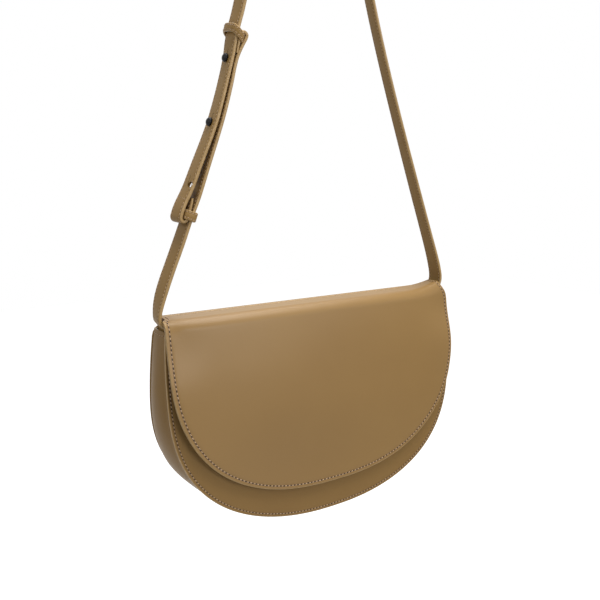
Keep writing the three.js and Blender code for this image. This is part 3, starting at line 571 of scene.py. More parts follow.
# gusset: its edges turn in under the panels, and its web bulges except at the foot
gusset = {"inset": 0.6, "foldRadius": 2.2, "flange": 9.0, "flangeBend": 5.0, "bulge": 2.8, "topBulge": 0.5,
          "settled": (8, 48), "flatFoot": (98, 132), "backInset": 0.15, "backRadius": 1.3, "webSteps": 14,
          "hemStitch": 2.6}


def makeGusset():
    curve = moonCurve(bag["mouthDrop"], 2.0)
    normals = inwardNormals(curve)
    normals[0], normals[-1] = (1, 0), (-1, 0)
    drop, (high, low) = -curve[:, 1], gusset["settled"]
    settle = np.clip((drop - high) / (low - high), 0, 1)
    bulge = gusset["topBulge"] + (gusset["bulge"] - gusset["topBulge"]) * settle
    bulge = bulge * (1 - smoothStep(*gusset["flatFoot"], drop))
    face = -(bag["panel"] + bag["gap"])

    def columnsOf(inset, fold, offset):
        section = [(gusset["flange"], face - offset), (gusset["flangeBend"], face - offset)]
        radius = fold - offset
        section += [(inset + fold - radius * math.sin(t), face - fold + radius * math.cos(t))
                    for t in np.linspace(0, math.pi / 2, 7)]
        return [wallPoint(1, *(curve + normals * across).T, depth) for across, depth in section]

    def ringAt(offset):
        front = columnsOf(gusset["inset"], gusset["foldRadius"], offset)
        back = columnsOf(gusset["backInset"], gusset["backRadius"], offset)
        back = [column * [1, -1, 1] for column in back]
        web = []
        for share in np.arange(1, gusset["webSteps"]) / gusset["webSteps"]:
            rise = normals * (bulge * (1 - (2 * share - 1) ** 2))[:, None]
            web.append(front[-1] * (1 - share) + back[-1] * share - np.insert(rise, 1, 0, axis=1))
        return front + web + back[::-1]

    outer, inner = ringAt(0.0), ringAt(bag["gusset"])
    points = np.stack(outer + inner[::-1], axis=1)
    (count, size), half = points.shape[:2], len(outer)
    faces, kinds = gridFaces(count, size), ([0] * (half - 1) + [1] * (half + 1)) * (count - 1)
    for start in (0, (count - 1) * size):
        faces += [(start + i, start + i + 1, start + size - 2 - i, start + size - 1 - i)
                  for i in range(half - 1)]
    kinds += [2] * (len(faces) - len(kinds))
    band = newPiece("gussetBand", points.reshape(-1, 3), faces, ["shell", "inner", "paint"], kinds, 50)
    rows = []
    for order, outward in ((slice(0, 6), -1.0), (slice(-1, -7, -1), 1.0)):
        row = np.array([sample(column[order], runsAlong(column[order]), gusset["hemStitch"])
                        for column in outer[8:half - 8]])
        rows.append((row, np.tile([outward, 0, 0], (len(row), 1))))
    hem = sewRow(rows, "hemThread", pitch=2.6, radius=0.22, share=0.6, hole=0.3)
    fasten([band, *hem], "bag_leather", "bag_shell")
    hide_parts("gusset")


makeGusset()
print("gusset wrapped")


# flap: runs are lengths along its section, from the tail's foot over the mouth and down the front
flap = {"halfWidth": 123.8, "drop": 132.8, "sideDrop": 34.0, "acrossPower": 2.42, "downPower": 2.22,
        "leather": 1.2, "lining": 1.15, "liningDepth": 1.32, "standOff": 5.0, "roofRise": 2.5,
        "roofHalfWidth": 119.4, "shoulder": 0.7, "frontFold": 8.0, "backFold": 4.0, "tail": 22.0,
        "tailHalfWidth": 118.6, "tailCorner": 9.0, "stitchInset": 2.6, "channel": 0.24, "tailChannel": 0.2,
        "sunk": -0.1}
flapTurn = math.pi / 2 - tilt


def foldCentre(side, face, radius):
    faceY, faceZ = bag["topDepth"] / 2 + face * cosTilt, face * sinTilt
    level = flap["roofRise"] - radius
    return side * (faceY + ((faceZ - level) * sinTilt - radius) / cosTilt), level


def foldEdge(centre, way, radius, turn):
    ny, nz = way * np.sin(turn), np.cos(turn)
    return centre[0] + radius * ny, centre[1] + radius * nz, ny, nz


backFold = foldCentre(1, bag["gap"] + flap["leather"], flap["backFold"])
frontFold = foldCentre(-1, flap["standOff"], flap["frontFold"])
flapRuns = {"tail": flap["tail"]}
flapRuns["back"] = flapRuns["tail"] + flap["backFold"] * flapTurn
flapRuns["roof"] = flapRuns["back"] + backFold[0] - frontFold[0]
flapRuns["front"] = flapRuns["roof"] + flap["frontFold"] * flapTurn
frontTopZ = foldEdge(frontFold, -1, flap["frontFold"], flapTurn)[1]


def runAtDrop(drop):
    return flapRuns["front"] + (drop - flap["roofRise"] + frontTopZ) / cosTilt


flapEnd = runAtDrop(flap["drop"])
flapSplit = flapRuns["back"] + 3.0


# the section's y and z, and the way out of it
def flapSection(run):
    run = np.asarray(run, float)
    up, down = flapRuns["tail"] - run, run - flapRuns["front"]
    backY, backZ = foldEdge(backFold, 1, flap["backFold"], flapTurn)[:2]
    frontY = foldEdge(frontFold, -1, flap["frontFold"], flapTurn)[0]
    parts = [(backY + up * sinTilt, backZ - up * cosTilt, cosTilt, sinTilt),
             foldEdge(backFold, 1, flap["backFold"], flapTurn + up / flap["backFold"]),
             (backFold[0] - (run - flapRuns["back"]), flap["roofRise"], 0, 1),
             foldEdge(frontFold, -1, flap["frontFold"], (run - flapRuns["roof"]) / flap["frontFold"]),
             (frontY - down * sinTilt, frontTopZ - down * cosTilt, -cosTilt, sinTilt)]
    which = np.searchsorted(list(flapRuns.values()), run, side="right")
    return [np.choose(which, np.broadcast_arrays(run, *column)[1:]) for column in zip(*parts)]


# how the soft flap lies: pairs are for its left and right side
drape = {"dent": 1.5, "dentAt": 119.5, "dentWidth": 5.5, "dentLength": 8.0, "tuck": (1.2, 1.6),
         "flare": (2.4, 1.9), "sideFrom": 84.0, "lift": 4.6, "liftFrom": 82.0, "pull": 4.6, "pullWidth": 6.5,
         "wave": 0.22, "slope": 0.12, "relax": 48.0}


def flapWrap(x, run, n):
    y, z, ny, nz = flapSection(run)
    x, run = np.asarray(x, float), np.asarray(run, float)
    back, roof, front = (flapRuns[key] for key in ("back", "roof", "front"))
    turning, share = front - roof, np.clip((run - front) / (flapEnd - front), 0, 1)
    inFold, below = np.clip(run - roof, 0, turning), np.clip(run - front, 0, drape["relax"])
    belly = drape["slope"] * (inFold ** 2 / turning / 2 + below - below ** 2 / drape["relax"] / 2)
    belly = belly * (1 - smoothStep(0.45, 1, share)) * np.clip(1 - (x / flap["halfWidth"]) ** 4, 0, 1)
    wave = drape["wave"] * (np.sin(x / 23 + run / 31) + np.sin(run / 17 - x / 41))
    wave = wave * smoothStep(0, 0.2, share)
    dent = drape["dent"] * np.exp(-((x + drape["dentAt"]) / drape["dentWidth"]) ** 2
                                  - ((run - roof - turning * 0.6) / drape["dentLength"]) ** 2)
    atSide = smoothStep(drape["sideFrom"], flap["halfWidth"], np.abs(x))
    tuck, flare = (atSide * (left + (right - left) * smoothStep(-20, 20, x))
                   for left, right in (drape["tuck"], drape["flare"]))
    tuck = tuck * smoothStep(roof, front, run) * (1 - smoothStep(0.05, 0.3, share))
    flare = flare * smoothStep(0.05, 0.38, share) * (1 - smoothStep(0.6, 0.95, share))
    reach = np.clip((x - drape["liftFrom"]) / (flap["roofHalfWidth"] - drape["liftFrom"]), 0, 1) ** 2
    overRoof = smoothStep(back - 2, back + 6, run) * (1 - smoothStep(roof - 3, front + 10, run))
    lift = drape["lift"] * reach * overRoof
    pull = drape["pull"] * reach * np.exp(-((run - roof - 2.5) / drape["pullWidth"]) ** 2)
    n = n + wave + flare + belly - dent - tuck
    return np.stack(np.broadcast_arrays(x - pull, y + ny * n, z + nz * n + lift), axis=-1)


def flapHalfWidth(run):
    if run < flapRuns["roof"]:
        wider = float(smoothStep(flapRuns["roof"] - 5, flapRuns["roof"], run))
        return flap["roofHalfWidth"] + (flap["halfWidth"] - flap["shoulder"] - flap["roofHalfWidth"]) * wider
    above = flap["sideDrop"] - flap["roofRise"] + float(flapSection(run)[1])
    return flap["halfWidth"] - flap["shoulder"] * (above / flap["sideDrop"]) ** 2


def flapCurve(startRun):
    left = [(-flapHalfWidth(run), run) for run in np.linspace(startRun, flapRuns["front"] + 25, 90)]
    return mirrored(left + [(x, runAtDrop(drop)) for x, drop in roundFoot(flap, 180)], 1.6)


def foldEnds(*runs):
    return [tuple(toFrame([(-bagTop[0], *map(float, flapSection(run)[:2]))])[0]) for run in runs]


foldRows = list(np.arange(flapRuns["back"] - 6, flapRuns["front"] + 4, 0.9))
frontRows = list(np.arange(flapRuns["front"] + 5, flapEnd, 6.0))


def makeFlapFront():
    loop = straightTop(flapCurve(flapSplit), flapSplit)
    face = cutSheet("flapFace", loop, flapWrap, flap["leather"], ["flap", "paint", "underside"],
                    (1.0, 1.5, 2.0, 2.6, 3.2, 4.0, 5.5), np.arange(-120, 121, 5.0), foldRows + frontRows,
                    groove(flap["channel"], flap["stitchInset"],
                           lambda run: np.clip((run - flapSplit - 1.5) / 2, 0, 1)),
                    0.55)
    under = cutSheet("flapUndersideLining", loop,
                     lambda x, run, n: flapWrap(x, run, n - flap["liningDepth"]),
                     flap["lining"], ["paint", "paint", "underside"], (1.5, 3.0), np.arange(-120, 121, 8.0),
                     foldRows[::2] + frontRows[::2], rim=0.45)
    threads = sewAlong("flapThread", flapWrap, flapCurve(flapSplit + 2), -flap["stitchInset"], flap["sunk"])
    fasten([face, under, *threads], "bag_leather", "flap_roof", "flap_front",
           ends=foldEnds(flapRuns["roof"] - 1, flapRuns["front"] + 1))
    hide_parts("flap_roof_leather", "flap_front_leather")
    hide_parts("flap_roof_lining", "flap_front_lining")


def makeFlapTail():
    corner, half, foot = flap["tailCorner"], flap["tailHalfWidth"], flapRuns["tail"]
    left = [(-flap["roofHalfWidth"], run) for run in np.linspace(flapSplit, foot + 2, 6)[:-1]]
    left += [(-half, run) for run in np.linspace(foot - 1, corner, 16)[:-1]]
    left += [(-half + corner * (1 - math.cos(t)), corner - corner * math.sin(t))
             for t in np.linspace(0, math.pi / 2, 12)]
    curve = evenly(left + [(-x, run) for x, run in reversed(left)], 1.8)
    tail = cutSheet("flapTail", straightTop(curve, flapSplit), flapWrap, flap["leather"],
                    ["flap", "paint", "underside"], (1.0, 1.6, 2.1, 2.6, 3.1, 4.0),
                    np.arange(-115, 116, 5.0),
                    [*np.arange(2, foot - 1, 5.0), *np.arange(foot - 1, flapSplit, 0.8)],
                    groove(flap["tailChannel"], flap["stitchInset"],
                           lambda run: np.clip((flapSplit - run - 1.5) / 2, 0, 1)))
    below = curve[curve[:, 1] < flapSplit - 2]
    threads = sewAlong("tailThread", flapWrap, below, flap["stitchInset"], flap["sunk"])
    fasten([tail, *threads], "bag_leather", "bag_shell", "flap_roof",
           ends=foldEnds(foot - 0.5, flapRuns["back"] + 0.5))
    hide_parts("flap_tail")


makeFlapFront()
makeFlapTail()
print("flap folded over")


# lining
lining = {"edge": 3.2, "facing": 22.0, "facingInset": 6.8, "sideFacing": 40.0, "sideGap": 2.4,
          "bandSteps": 6}
pocket = {"width": 118.0, "height": 74.0, "corner": 12.0, "drop": 34.0, "seamInset": 2.0}
linerFace = -(bag["panel"] + bag["board"] + 2 * bag["gap"])
innerFace = linerFace - bag["lining"] - bag["gap"]
facingDrop = bag["mouthDrop"] + lining["facing"]


def makeWallLining(wall, side):
    def wrap(x, y, n):
        return wallPoint(side, side * x, y, n + linerFace)

    curve = moonCurve(facingDrop + bag["gap"], 3.0)
    curve = curve + inwardNormals(curve) * lining["edge"]
    loop = straightTop(curve[-curve[:, 1] > facingDrop + 0.1], -facingDrop - bag["gap"], 40)
    cloth = cutSheet(wall + "LiningCloth", loop, wrap, bag["lining"], ["cloth"], (2.0,),
                     np.arange(-115, 116, 12.0), np.arange(-146, -26, 12.0), rim=0.2)
    float(abs(signedArea(loop))) / 1e6
    mouth = bag["mouthDrop"]
    corners = [(x * (bagHalfWidth(drop) - lining["facingInset"]), -drop)
               for x, drop in ((-1, mouth), (-1, facingDrop), (1, facingDrop), (1, mouth))]
    facing = cutSheet(wall + "MouthFacing", evenly(corners, 3.0, closed=True), wrap, bag["facing"],
                      ["inner", "paint"], (2.0,), np.arange(-110, 111, 10.0), (-12, -20), rim=0.35)
    fasten([cloth], "lining_cloth", "bag_shell")
    fasten([facing], "inner_leather", "bag_shell")
    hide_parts(wall + "_lining")
    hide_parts(wall + "_facing")


# a band from wall to wall, and its area
def makeBand(name, node, curve, normals, inset, thickness, material, slotName):
    outer, inner = (wallPoint(1, *(curve + normals * depth).T, innerFace)
                    for depth in (inset, inset + thickness))
    shares = np.linspace(1, -1, lining["bandSteps"] + 1)
    columns = [outer * [1, share, 1] for share in shares] + [inner * [1, share, 1] for share in shares[::-1]]
    points = np.stack(columns, axis=1)
    count, size = points.shape[:2]
    band = newPiece(name, points.reshape(-1, 3), gridFaces(count, size) + capFaces(count, size), [material])
    fasten([band], slotName, "bag_shell")
    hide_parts(node)
    return band, float(np.sum(np.diff(runsAlong(outer)) * -(outer[1:, 1] + outer[:-1, 1]))) / 1e6


def makeGussetLining():
    curve = moonCurve(bag["mouthDrop"] + lining["sideFacing"] + bag["gap"], 3.0)
    inset = gusset["inset"] + bag["gusset"] + bag["gap"]
    band, area = makeBand("gussetLiningCloth", "gusset_lining", curve, inwardNormals(curve), inset,
                          bag["lining"], "cloth", "lining_cloth")
    float(runsAlong(curve)[-1]) / 1000
    for word, side in (("left", 1), ("right", -1)):
        drops = np.linspace(bag["mouthDrop"], bag["mouthDrop"] + lining["sideFacing"], 16)
        curve = np.array([(-side * bagHalfWidth(drop), -drop) for drop in drops])
        makeBand(word + "SideFacing", "gusset_facing_" + word, curve,
                 np.tile([float(side), 0.0], (len(curve), 1)),
                 inset + lining["sideGap"] + bag["gap"], bag["facing"], "inner", "inner_leather")


def makePocket():
    half, corner, top = pocket["width"] / 2, pocket["corner"], -pocket["drop"]
    foot = top - pocket["height"]
    turns = [(math.sin(t), math.cos(t)) for t in np.linspace(0, math.pi / 2, 8)]
    loop = [(-half, top)]
    loop += [(-half + corner * (1 - cosine), foot + corner * (1 - sine)) for sine, cosine in turns]
    loop += [(half - corner * (1 - sine), foot + corner * (1 - cosine)) for sine, cosine in turns]
    loop = evenly(loop + [(half, top)], 2.5, closed=True)

    def wrap(x, y, n):
        return wallPoint(-1, -x, y, innerFace - bag["lining"] - n)

    pouch = cutSheet("slipPocket", loop, wrap, bag["lining"], ["cloth"], (2.0, 3.0), np.arange(-52, 53, 8.0),
                     np.arange(foot + 6, top, 8.0), rim=0.25)
    float(abs(signedArea(loop))) / 1e6
    border = sorted((p for p in loop if p[1] < top - 0.5), key=lambda p: math.atan2(p[1] - (top + 10), p[0]))
    threads = sewAlong("pocketThread", wrap, np.array(border), pocket["seamInset"], 0.05, pitch=2.6,
                       radius=0.2, share=0.6, hole=0)
    fasten([pouch, *threads], "lining_cloth", "bag_shell")
    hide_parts("slip_pocket")


makeWallLining("front", 1)
makeWallLining("back", -1)
makeGussetLining()
makePocket()
print("lining fitted")


# strap: each leg's route by height, and how far it twists there in degrees
strap = {"width": 14.0, "thickness": 2.4, "drop": 480.0, "tabDepth": 38.0, "leanHeight": 40.0,
         "archRadius": 23.5, "archShift": -4.0, "stitchInset": 1.7, "pitch": 2.55,
         "bendHeights": (26.0, -3.0)}
legShape = {
    -1: {"bow": 123.5, "bowHeight": 2.0, "reachUp": 8.0, "lean": 111.5, "leanReach": 20.0, "slope": 0.434,
         "rise": 119.0, "ease": 134.0,
         "twist": [(-9, 0), (-3, -4.5), (1, -6.5), (5, -4.5), (12, 1.8), (40, 6.0), (80, 3.7), (105, 1.8),
                   (130, 0.6), (155, -1.6), (168, -0.6), (180, 2.6), (240, 3.0), (420, 0)]},
    1: {"bow": 124.1, "bowHeight": 9.0, "reachUp": 6.0, "lean": 114.5, "leanReach": 12.0, "slope": 0.393,
        "rise": 197.0, "ease": 175.0,
        "twist": [(5, 0), (10, 0.7), (40, 6.3), (80, 9.1), (130, 13.0), (180, 15.1), (240, 15.2), (420, 0)]},
}
adjuster = {"lowerFold": 66.6, "upperFold": 185.0, "lowerStud": 128.0, "upperStud": 169.2, "crossSeam": 77.8,
            "punchPitch": 43.4, "punches": 3, "punchRadius": 2.2, "holeStretch": (1.4, 0.95),
            "holeLean": 0.5, "slit": 4.0, "slitWidth": 0.6, "tailThinning": 0.62}
# the folds: turnSide is 1 where the end turns outwards, heading 1 where the fold is uppermost
folds = {"lower": {"turnSide": -1, "heading": -1, "radius": 2.4, "roundness": 1.2, "tail": 13.4,
                   "drift": 1.1},
         "upper": {"turnSide": 1, "heading": 1, "radius": 2.45, "roundness": 0.75, "tail": 12.5,
                   "drift": -0.1}}
seamHalf = strap["width"] / 2 - strap["stitchInset"]
# how far each layer lies outside the strap's route, by height
innerShifts = [(60, 0), (70, -0.1), (75, -0.5), (80.5, -0.9), (92, -1.15), (100, -1.35), (110, -1.75),
               (118, -2.15), (129.4, -2.7), (140, -3.0), (155, -3.0), (167, -2.7), (171, -2.9), (175, -3.6),
               (180, -4.9), (185, -6.2)]
outerShifts = [(66, 7.6), (70, 7.7), (75, 7.25), (81, 6.2), (86, 5.45), (92, 4.95), (100, 4.25), (110, 3.15),
               (118, 2.2), (129.4, 1.1), (140, 0.7), (155, 0.45), (167, 0.4), (171, 0.45), (175, 0.7),
               (180, 1.1), (188, 1.1), (200, 0.3), (210, 0)]


# a smooth line through the table's steps
def through(table, value):
    spots, levels = np.array(table, float).T
    slopes = np.gradient(levels, spots)
    slopes[0] = slopes[-1] = 0
    value = np.clip(np.atleast_1d(value), spots[0], spots[-1])
    i = np.clip(np.searchsorted(spots, value, side="right") - 1, 0, len(spots) - 2)
    span = spots[i + 1] - spots[i]
    s = (value - spots[i]) / span
    return ((1 + 2 * s) * (1 - s) ** 2 * levels[i] + s * (1 - s) ** 2 * span * slopes[i]
            + s * s * (3 - 2 * s) * levels[i + 1] + s * s * (s - 1) * span * slopes[i + 1])


def bezier(*knots):
    knots = [np.array((x, 0.0, z)) for x, z in knots]
    shares = np.linspace(0, 1, 241)[:, None]
    while len(knots) > 1:
        knots = [a * (1 - shares) + b * shares for a, b in zip(knots, knots[1:])]
    return knots[0]


# from the tab inside the gusset, round the hem and the bow, up the leg and into the arch
def legRoute(side):
    shape, depth, mouth = legShape[side], strap["tabDepth"], bag["mouthDrop"]
    sunk = gusset["inset"] + bag["gusset"] + bag["gap"] + strap["thickness"] / 2
    foot, hem = ((side * (bagHalfWidth(drop) - sunk), -drop) for drop in (depth, mouth))
    slope = 2 * bag["topTuck"] * (bag["sideDrop"] - depth) / bag["sideDrop"] ** 2
    rise = (depth - mouth) / 2
    bow, lean = (side * shape["bow"], shape["bowHeight"]), (side * shape["lean"], strap["leanHeight"])
    swing = (bow[1] - hem[1]) * 0.42
    radius, archZ = strap["archRadius"], strap["drop"] + strap["thickness"] / 2 - strap["archRadius"]
    archEnd, apex = (strap["archShift"] + side * radius, archZ), (strap["archShift"], archZ + radius)
    roundness = 4 / 3 * math.tan(math.pi / 8) * radius
    reach, inward = shape["leanReach"], side * shape["slope"]
    parts = [
        bezier(foot, (foot[0] - side * slope * rise, foot[1] + rise), hem),
        bezier(hem, (hem[0], hem[1] + swing), (bow[0], bow[1] - swing), bow),
        bezier(bow, (bow[0], bow[1] + shape["reachUp"]), (lean[0] + inward * reach, lean[1] - reach), lean),
        bezier(lean, (lean[0] - inward * shape["rise"], lean[1] + shape["rise"]),
               (archEnd[0], archEnd[1] - shape["ease"]), archEnd),
        bezier(archEnd, (archEnd[0], archEnd[1] + roundness), (apex[0] + side * roundness, apex[1]), apex),
    ]
    return np.vstack([parts[0], *[part[1:] for part in parts[1:]]])


class Leg:
    def __init__(self, side):
        self.side = side
        self.points = evenly(legRoute(side), 0.5)
        self.runs = runsAlong(self.points)
        self.along = unit(np.gradient(self.points, axis=0))

    def runAt(self, height):
        return float(np.interp(height, self.points[:, 2], self.runs))

    # place, and the ways up the strap, across it to the back and out of it
    def at(self, runs):
        point = sample(self.points, self.runs, np.atleast_1d(runs))
        up = unit(sample(self.along, self.runs, np.atleast_1d(runs)))
        level = self.side * up[:, ::-1] * [1, 0, -1]
        angle = np.radians(through(legShape[self.side]["twist"], point[:, 2]))[:, None]
        back = np.array([[0.0, 1.0, 0.0]])
        cosine, sine = np.cos(angle), np.sin(angle)
        return point, up, back * cosine + level * sine, level * cosine - back * sine

    def frameAt(self, run):
        return [v[0] for v in self.at(run)]


leftLeg, rightLeg = Leg(-1), Leg(1)
runOf = {key: leftLeg.runAt(adjuster[key])
         for key in ("lowerFold", "upperFold", "lowerStud", "upperStud", "crossSeam")}


def shiftAt(shifts, run):
    return through(shifts, leftLeg.at(run)[0][:, 2])


# the strap's end, turned back on itself and run to a tail
def foldedEnd(run, shift, turnSide, heading, radius, roundness, tail, drift):
    point, up, across, out = leftLeg.frameAt(run)
    centre = point + out * (shift + turnSide * radius)
    points = [centre - out * turnSide * radius * math.cos(turn)
              + up * heading * radius * roundness * math.sin(turn)
              for turn in np.linspace(0, math.pi, 29)[1:]]
    points += [centre + out * (turnSide * radius + drift * step * step) - up * heading * step * tail
               for step in np.linspace(0, 1, 10)[1:]]
    return np.array(points), np.tile(across, (len(points), 1))


def strapSection():
    face = [(-6.45, 1.08), (-6.0, 1.14), (-5.65, 1.1), (-5.3, 0.94), (-4.95, 1.1), (-4.4, 1.2),
            (-2.0, 1.24), (0, 1.25)]
    face += [(-v, n) for v, n in reversed(face[:-1])]
    edge = [(6.8, 0.86), (6.97, 0.45), (7.0, 0.0), (6.97, -0.45), (6.8, -0.86)]
    section = face + edge
    return section + [(-v, -n) for v, n in section], ([0] * (len(face) - 1) + [1] * (len(edge) + 1)) * 2


# the parts joined to one path, with the tail pared thinner
def joined(*parts):
    points, acrosses = (np.vstack(columns) for columns in zip(*parts))
    outs = unit(np.cross(acrosses, unit(np.gradient(points, axis=0))))
    outs[-9:] *= np.linspace(1, adjuster["tailThinning"], 9)[:, None]
    return points, acrosses, outs


def longStrapPath():
    settled = leftLeg.runAt(outerShifts[-1][0])
    runs = np.append(np.arange(settled, runOf["lowerFold"] - 0.01, -1.8), runOf["lowerFold"])
    point, up, across, out = leftLeg.at(runs)
    return joined(rightLeg.at(np.arange(0, rightLeg.runs[-1], 2.5))[::2],
                  leftLeg.at(np.arange(leftLeg.runs[-1], settled, -2.5))[::2],
                  (point + out * shiftAt(outerShifts, runs)[:, None], across),
                  foldedEnd(runOf["lowerFold"], outerShifts[0][1], **folds["lower"]))


def shortStrapPath():
    runs = np.append(np.arange(runOf["lowerFold"], runOf["upperFold"] - 0.01, 1.8), runOf["upperFold"])
    point, up, across, out = leftLeg.at(runs)
    return joined(leftLeg.at(np.arange(0, runOf["lowerFold"], 2.5))[::2],
                  (point + out * shiftAt(innerShifts, runs)[:, None], across),
                  foldedEnd(runOf["upperFold"], innerShifts[-1][1], **folds["upper"]))


def legMatrix(run, shift):
    point, up, across, out = leftLeg.frameAt(run)
    matrix = Matrix((np.cross(up, out) / 1000, up / 1000, out / 1000)).transposed().to_4x4()
    matrix.translation = Vector(toFrame(point + out * shift)[0])
    return matrix


def punchStrap(piece):
    studs, pitch = [runOf["lowerStud"], runOf["upperStud"]], adjuster["punchPitch"]
    above = [studs[1] + (i + 1) * pitch for i in range(adjuster["punches"])]
    length = adjuster["slit"] + adjuster["punchRadius"]
    for run in [studs[0] - pitch, *studs, *above]:
        matrix = legMatrix(run, 0)
        bpy.ops.mesh.primitive_cylinder_add(vertices=40, radius=adjuster["punchRadius"], depth=30)
        drill = Matrix.Identity(4)
        # an empty hole is pulled out of round and leans, so that light shows through it
        if run not in studs:
            drill = Matrix.Diagonal((*adjuster["holeStretch"], 1, 1))
            drill[0][2] = adjuster["holeLean"]
        carve(piece, bpy.context.object, matrix @ drill)
        carveBox(piece, matrix, (0, length / 2, 0), (adjuster["slitWidth"], length, 30))
    smoothed(piece, 45)


def makeStrap(name, path, punched):
    points, acrosses, outs = path
    section, kinds = strapSection()
    body = sweep(name, *path, section, ["strap", "paint"], kinds, smooth=45)
    if punched:
        punchStrap(body)
    keep = slice(14, len(points) - 1)
    rows = [((points + acrosses * edge * seamHalf + outs * face * 0.98)[keep], outs[keep] * face)
            for edge in (-1, 1) for face in (-1, 1)]
    threads = sewRow(rows, name + "Thread", pitch=strap["pitch"], radius=0.22, share=0.62, hole=0.32)
    fasten([body, *threads], "strap_leather", "strap", "bag_shell",
           ends=[tuple(toFrame([(-bagTop[0], 0, height)])[0]) for height in strap["bendHeights"]])
    node = name.replace("Strap", "_strap_")
    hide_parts(node + "face", node + "backing", node + "tab")


def sewAcross():
    point, up, across, out = leftLeg.frameAt(runOf["crossSeam"])
    shift = float(shiftAt(outerShifts, runOf["crossSeam"])[0])
    path = np.array([point + across * t + up * 0.12 * t + out * (shift + 1.12)
                     for t in np.linspace(-seamHalf, seamHalf, 9)])
    threads = sewRow([(path, np.tile(out, (9, 1)))], "crossThread", pitch=2.2, share=0.46, hole=0.5)
    fasten(threads, "strap_leather", "strap")


makeStrap("longStrap", longStrapPath(), True)
makeStrap("shortStrap", shortStrapPath(), False)
sewAcross()
print("strap drawn")


# keepers: near and far bound the loop's depth on the strap, slack is its room at each side, tip turns it
# in degrees, and slant raises its outer side
keepers = {
    "lower": {"run": runOf["lowerFold"] + 2.1, "near": -2.6, "far": 5.0, "height": 6.4, "tip": 1,
              "slant": 0.0, "slack": 0.7, "corner": 2.4},
    "upper": {"run": runOf["upperFold"] + 0.2, "near": -3.8, "far": 4.2, "height": 5.6, "tip": -8,
              "slant": 0.55, "slack": 1.1, "corner": 3.95},
}
keeperWall = 1.4


def makeKeeper(word, run, near, far, height, tip, slant, slack, corner):
    wide, deep, wall, half = strap["width"] + 2 * slack + keeperWall, far - near, keeperWall / 2, height / 2
    reachX, reachY = wide / 2 - corner, deep / 2 - corner
    path = evenly([(cx * reachX + corner * math.cos(t), cy * reachY + corner * math.sin(t))
                   for cx, cy, start in ((1, 1, 0), (-1, 1, 90), (-1, -1, 180), (1, -1, 270))
                   for t in np.radians(np.linspace(start, start + 90, 9))], 0.8, closed=True)
    x, y = path.T
    path[:, 1] += (y > 0) * slack * 0.6 * (1 - (2 * x / wide) ** 2)
    normals = -inwardNormals(path, closed=True)
    point, up, across, out = leftLeg.frameAt(run)
    turn = Matrix.Rotation(math.radians(tip), 3, Vector(out))
    right, up = (np.array(turn @ Vector(v)) for v in (np.cross(up, out), up))
    centres = point + out * (near + far) / 2 + path[:, :1] * right + path[:, 1:] * (out + slant * up)
    outs, ups = normals[:, :1] * right + normals[:, 1:] * out, np.tile(up, (len(centres), 1))
    face = [(-half + 0.45, wall * 0.9), (-half + 0.9, wall), (-half + 1.3, wall - 0.16), (-half + 1.7, wall),
            (0, wall + 0.03)]
    face += [(-v, n) for v, n in reversed(face[:-1])]
    edge = [(half - 0.1, wall * 0.55), (half, 0), (half - 0.1, -wall * 0.55)]
    section = face + edge + [(half - 0.45, -wall), (-half + 0.45, -wall)] + [(-v, -n) for v, n in edge]
    kinds = [0] * (len(face) - 1) + [1] * (len(edge) + 1) + [0] + [1] * (len(edge) + 1)
    name = word + "Keeper"
    band = sweep(name, centres, ups, outs, section, ["strap", "paint"], kinds, closed=True, smooth=50)
    seams = [centres + ups * end * (half - 1.3) + outs * (wall - 0.08) for end in (-1, 1)]
    rows = [[np.vstack([row, row[:1]]) for row in (line, outs)] for line in seams]
    threads = sewRow(rows, name + "Thread", pitch=2.2, radius=0.2, share=0.66, hole=0.16)
    fasten([band, *threads], "strap_leather", "strap")
    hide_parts(word + "_keeper")


for word, keeper in keepers.items():
    makeKeeper(word, **keeper)
print("keepers looped")


# studs: a domed button with a bore, and the slotted screw that goes into it from behind
stud = {"head": 2.95, "headHeight": 2.9, "waist": 0.7, "neck": 1.8, "bore": 1.1, "boreDepth": 2.0,
        "shank": 0.8, "screwHead": 3.0, "screwHeight": 1.0, "slot": 0.7, "slotDepth": 0.45}


def spun(name, profile, matrix):
    mesh = bpy.data.meshes.new(name)
    mesh.from_pydata([(r, 0, z) for r, z in profile], [(i, i + 1) for i in range(len(profile) - 1)], [])
    mesh.materials.append(finishes["lacquer"])
    piece = bpy.data.objects.new(name, mesh)
    bpy.context.collection.objects.link(piece)
    smoothed(piece, 35, spin=True)
    mesh.transform(matrix)
    return piece


def makeStud(word):
    inner, outer = (float(shiftAt(shifts, runOf[word + "Stud"])[0]) for shifts in (innerShifts, outerShifts))
    matrix = legMatrix(runOf[word + "Stud"], inner)
    seat = (strap["thickness"] + bag["gap"]) / 2
    head, boreEnd = outer - inner + strap["thickness"] / 2 + bag["gap"], seat + stud["boreDepth"]
    wide, waist, low = stud["head"], stud["waist"], -seat - stud["screwHeight"]
    dome = [(wide * math.cos(t), head + waist + (stud["headHeight"] - waist) * math.sin(t))
            for t in np.linspace(0, math.pi / 2, 9)[:-1]]
    button = spun(word + "Button", [(0, boreEnd), (stud["bore"], boreEnd), (stud["bore"], seat),
                                    (stud["neck"], seat), (stud["neck"], head), (wide * 0.7, head),
                                    (wide * 0.95, head + waist * 0.45),
                                    *dome, (0, head + stud["headHeight"])], matrix)
    wide = stud["screwHead"]
    bolt = spun(word + "ButtonScrew", [(0, low), (wide - 0.6, low),
                                       (wide - 0.15, low + stud["screwHeight"] * 0.3),
                                       (wide, -seat - 0.3), (wide, -seat), (stud["shank"], -seat),
                                       (stud["shank"], boreEnd - bag["gap"]), (0, boreEnd - bag["gap"])],
                matrix)
    carveBox(bolt, matrix, (0, 0, low), (stud["slot"], 10, 2 * stud["slotDepth"]))
    fasten([button, bolt], "stud_metal", "strap")
    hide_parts(word + "_stud")
    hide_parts(word + "_stud_screw")


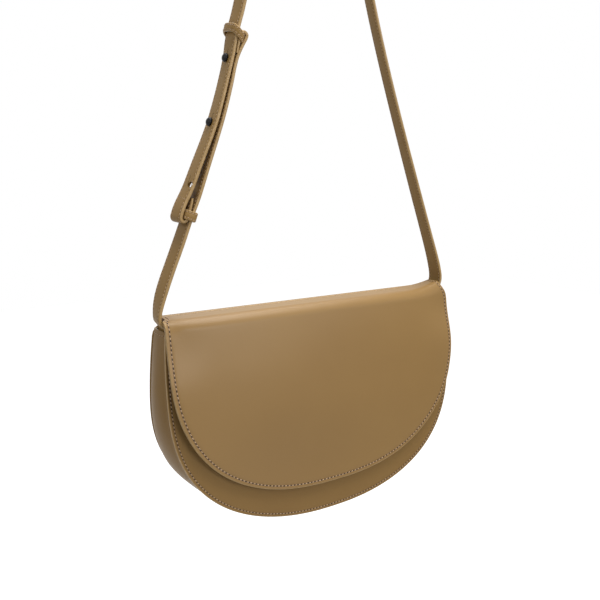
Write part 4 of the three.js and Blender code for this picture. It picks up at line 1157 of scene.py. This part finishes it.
makeStud("lower")
makeStud("upper")
print("studs set")

for node, finish in (("front_board", "board"), ("back_board", "board"), ("closure_magnet_front", "magnet"),
                     ("closure_magnet_flap", "magnet")):
    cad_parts[node].data.materials.clear()
    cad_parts[node].data.materials.append(finishes[finish])


# studio, in metres
studio = {"floorDrop": 0.42, "floorSize": 6.0, "farGlow": 0.84, "nearGlow": 0.6, "nearReach": 0.55,
          "ambient": 0.31, "target": (0.0, 0.0, -0.56)}
# place, size and power
lamps = {"topSoftbox": ((0.26, -0.04, 0.62), (1.2, 1.0), 23.0),
         "keySoftbox": ((0.84, -0.84, 0.07), (0.8, 0.8), 3.2),
         "leftSoftbox": ((-1.05, -0.4, 0.1), (0.8, 0.8), 3.2),
         "frontSoftbox": ((0.4, -1.42, -0.14), (0.66, 0.3), 5.8)}


# the glow makes the floor white to the lens, but for the object's shadow
def makeFloor():
    bpy.ops.mesh.primitive_plane_add(size=studio["floorSize"],
                                     location=(0, 0, cadBox[0][2] - studio["floorDrop"]))
    floor = bpy.context.object
    floor.name = "paleFloor"
    finish = Finish("paleFloor")
    finish.set(Base_Color=(0.5, 0.5, 0.5, 1), Roughness=0.9)
    near = finish.add("ShaderNodeTexGradient", {"gradient_type": "SPHERICAL"},
                      finish.place(1 / studio["nearReach"]))
    shades = [(level, level, level, 1) for level in (studio["farGlow"], studio["nearGlow"])]
    glow = finish.add("ShaderNodeEmission", None, finish.blendColours(near, *shades), finish.seenByLens())
    total = finish.add("ShaderNodeAddShader", None, Wire(finish, finish.shader.outputs[0]), glow)
    finish.links.new(total.socket, finish.nodes["Material Output"].inputs[0])
    floor.data.materials.append(finish.material)


def makeLamp(name, place, size, power):
    bpy.ops.object.light_add(type="AREA", location=place)
    lamp = bpy.context.object
    lamp.name = name
    lamp.data.shape = "RECTANGLE"
    lamp.data.size, lamp.data.size_y = size
    lamp.data.energy = power
    lamp.rotation_euler = (Vector(studio["target"]) - Vector(place)).to_track_quat("-Z", "Y").to_euler()


def makeWorld():
    world = bpy.data.worlds.new("studioWorld")
    bpy.context.scene.world = world
    world.use_nodes = True
    tree = Tree(world.node_tree)
    seen = tree.seenByLens()
    level = tree.add("ShaderNodeMix", {"data_type": "FLOAT"}, seen, None, studio["ambient"], 1.0)
    tree.plug(tree.nodes["Background"].inputs["Strength"], level)
    tree.plug(tree.nodes["Background"].inputs["Color"], (1, 1, 1, 1))


makeFloor()
for name, lamp in lamps.items():
    makeLamp(name, *lamp)
makeWorld()
bpy.context.scene.view_settings.view_transform = "Standard"
print("studio lit")

print("scene ready to finish")
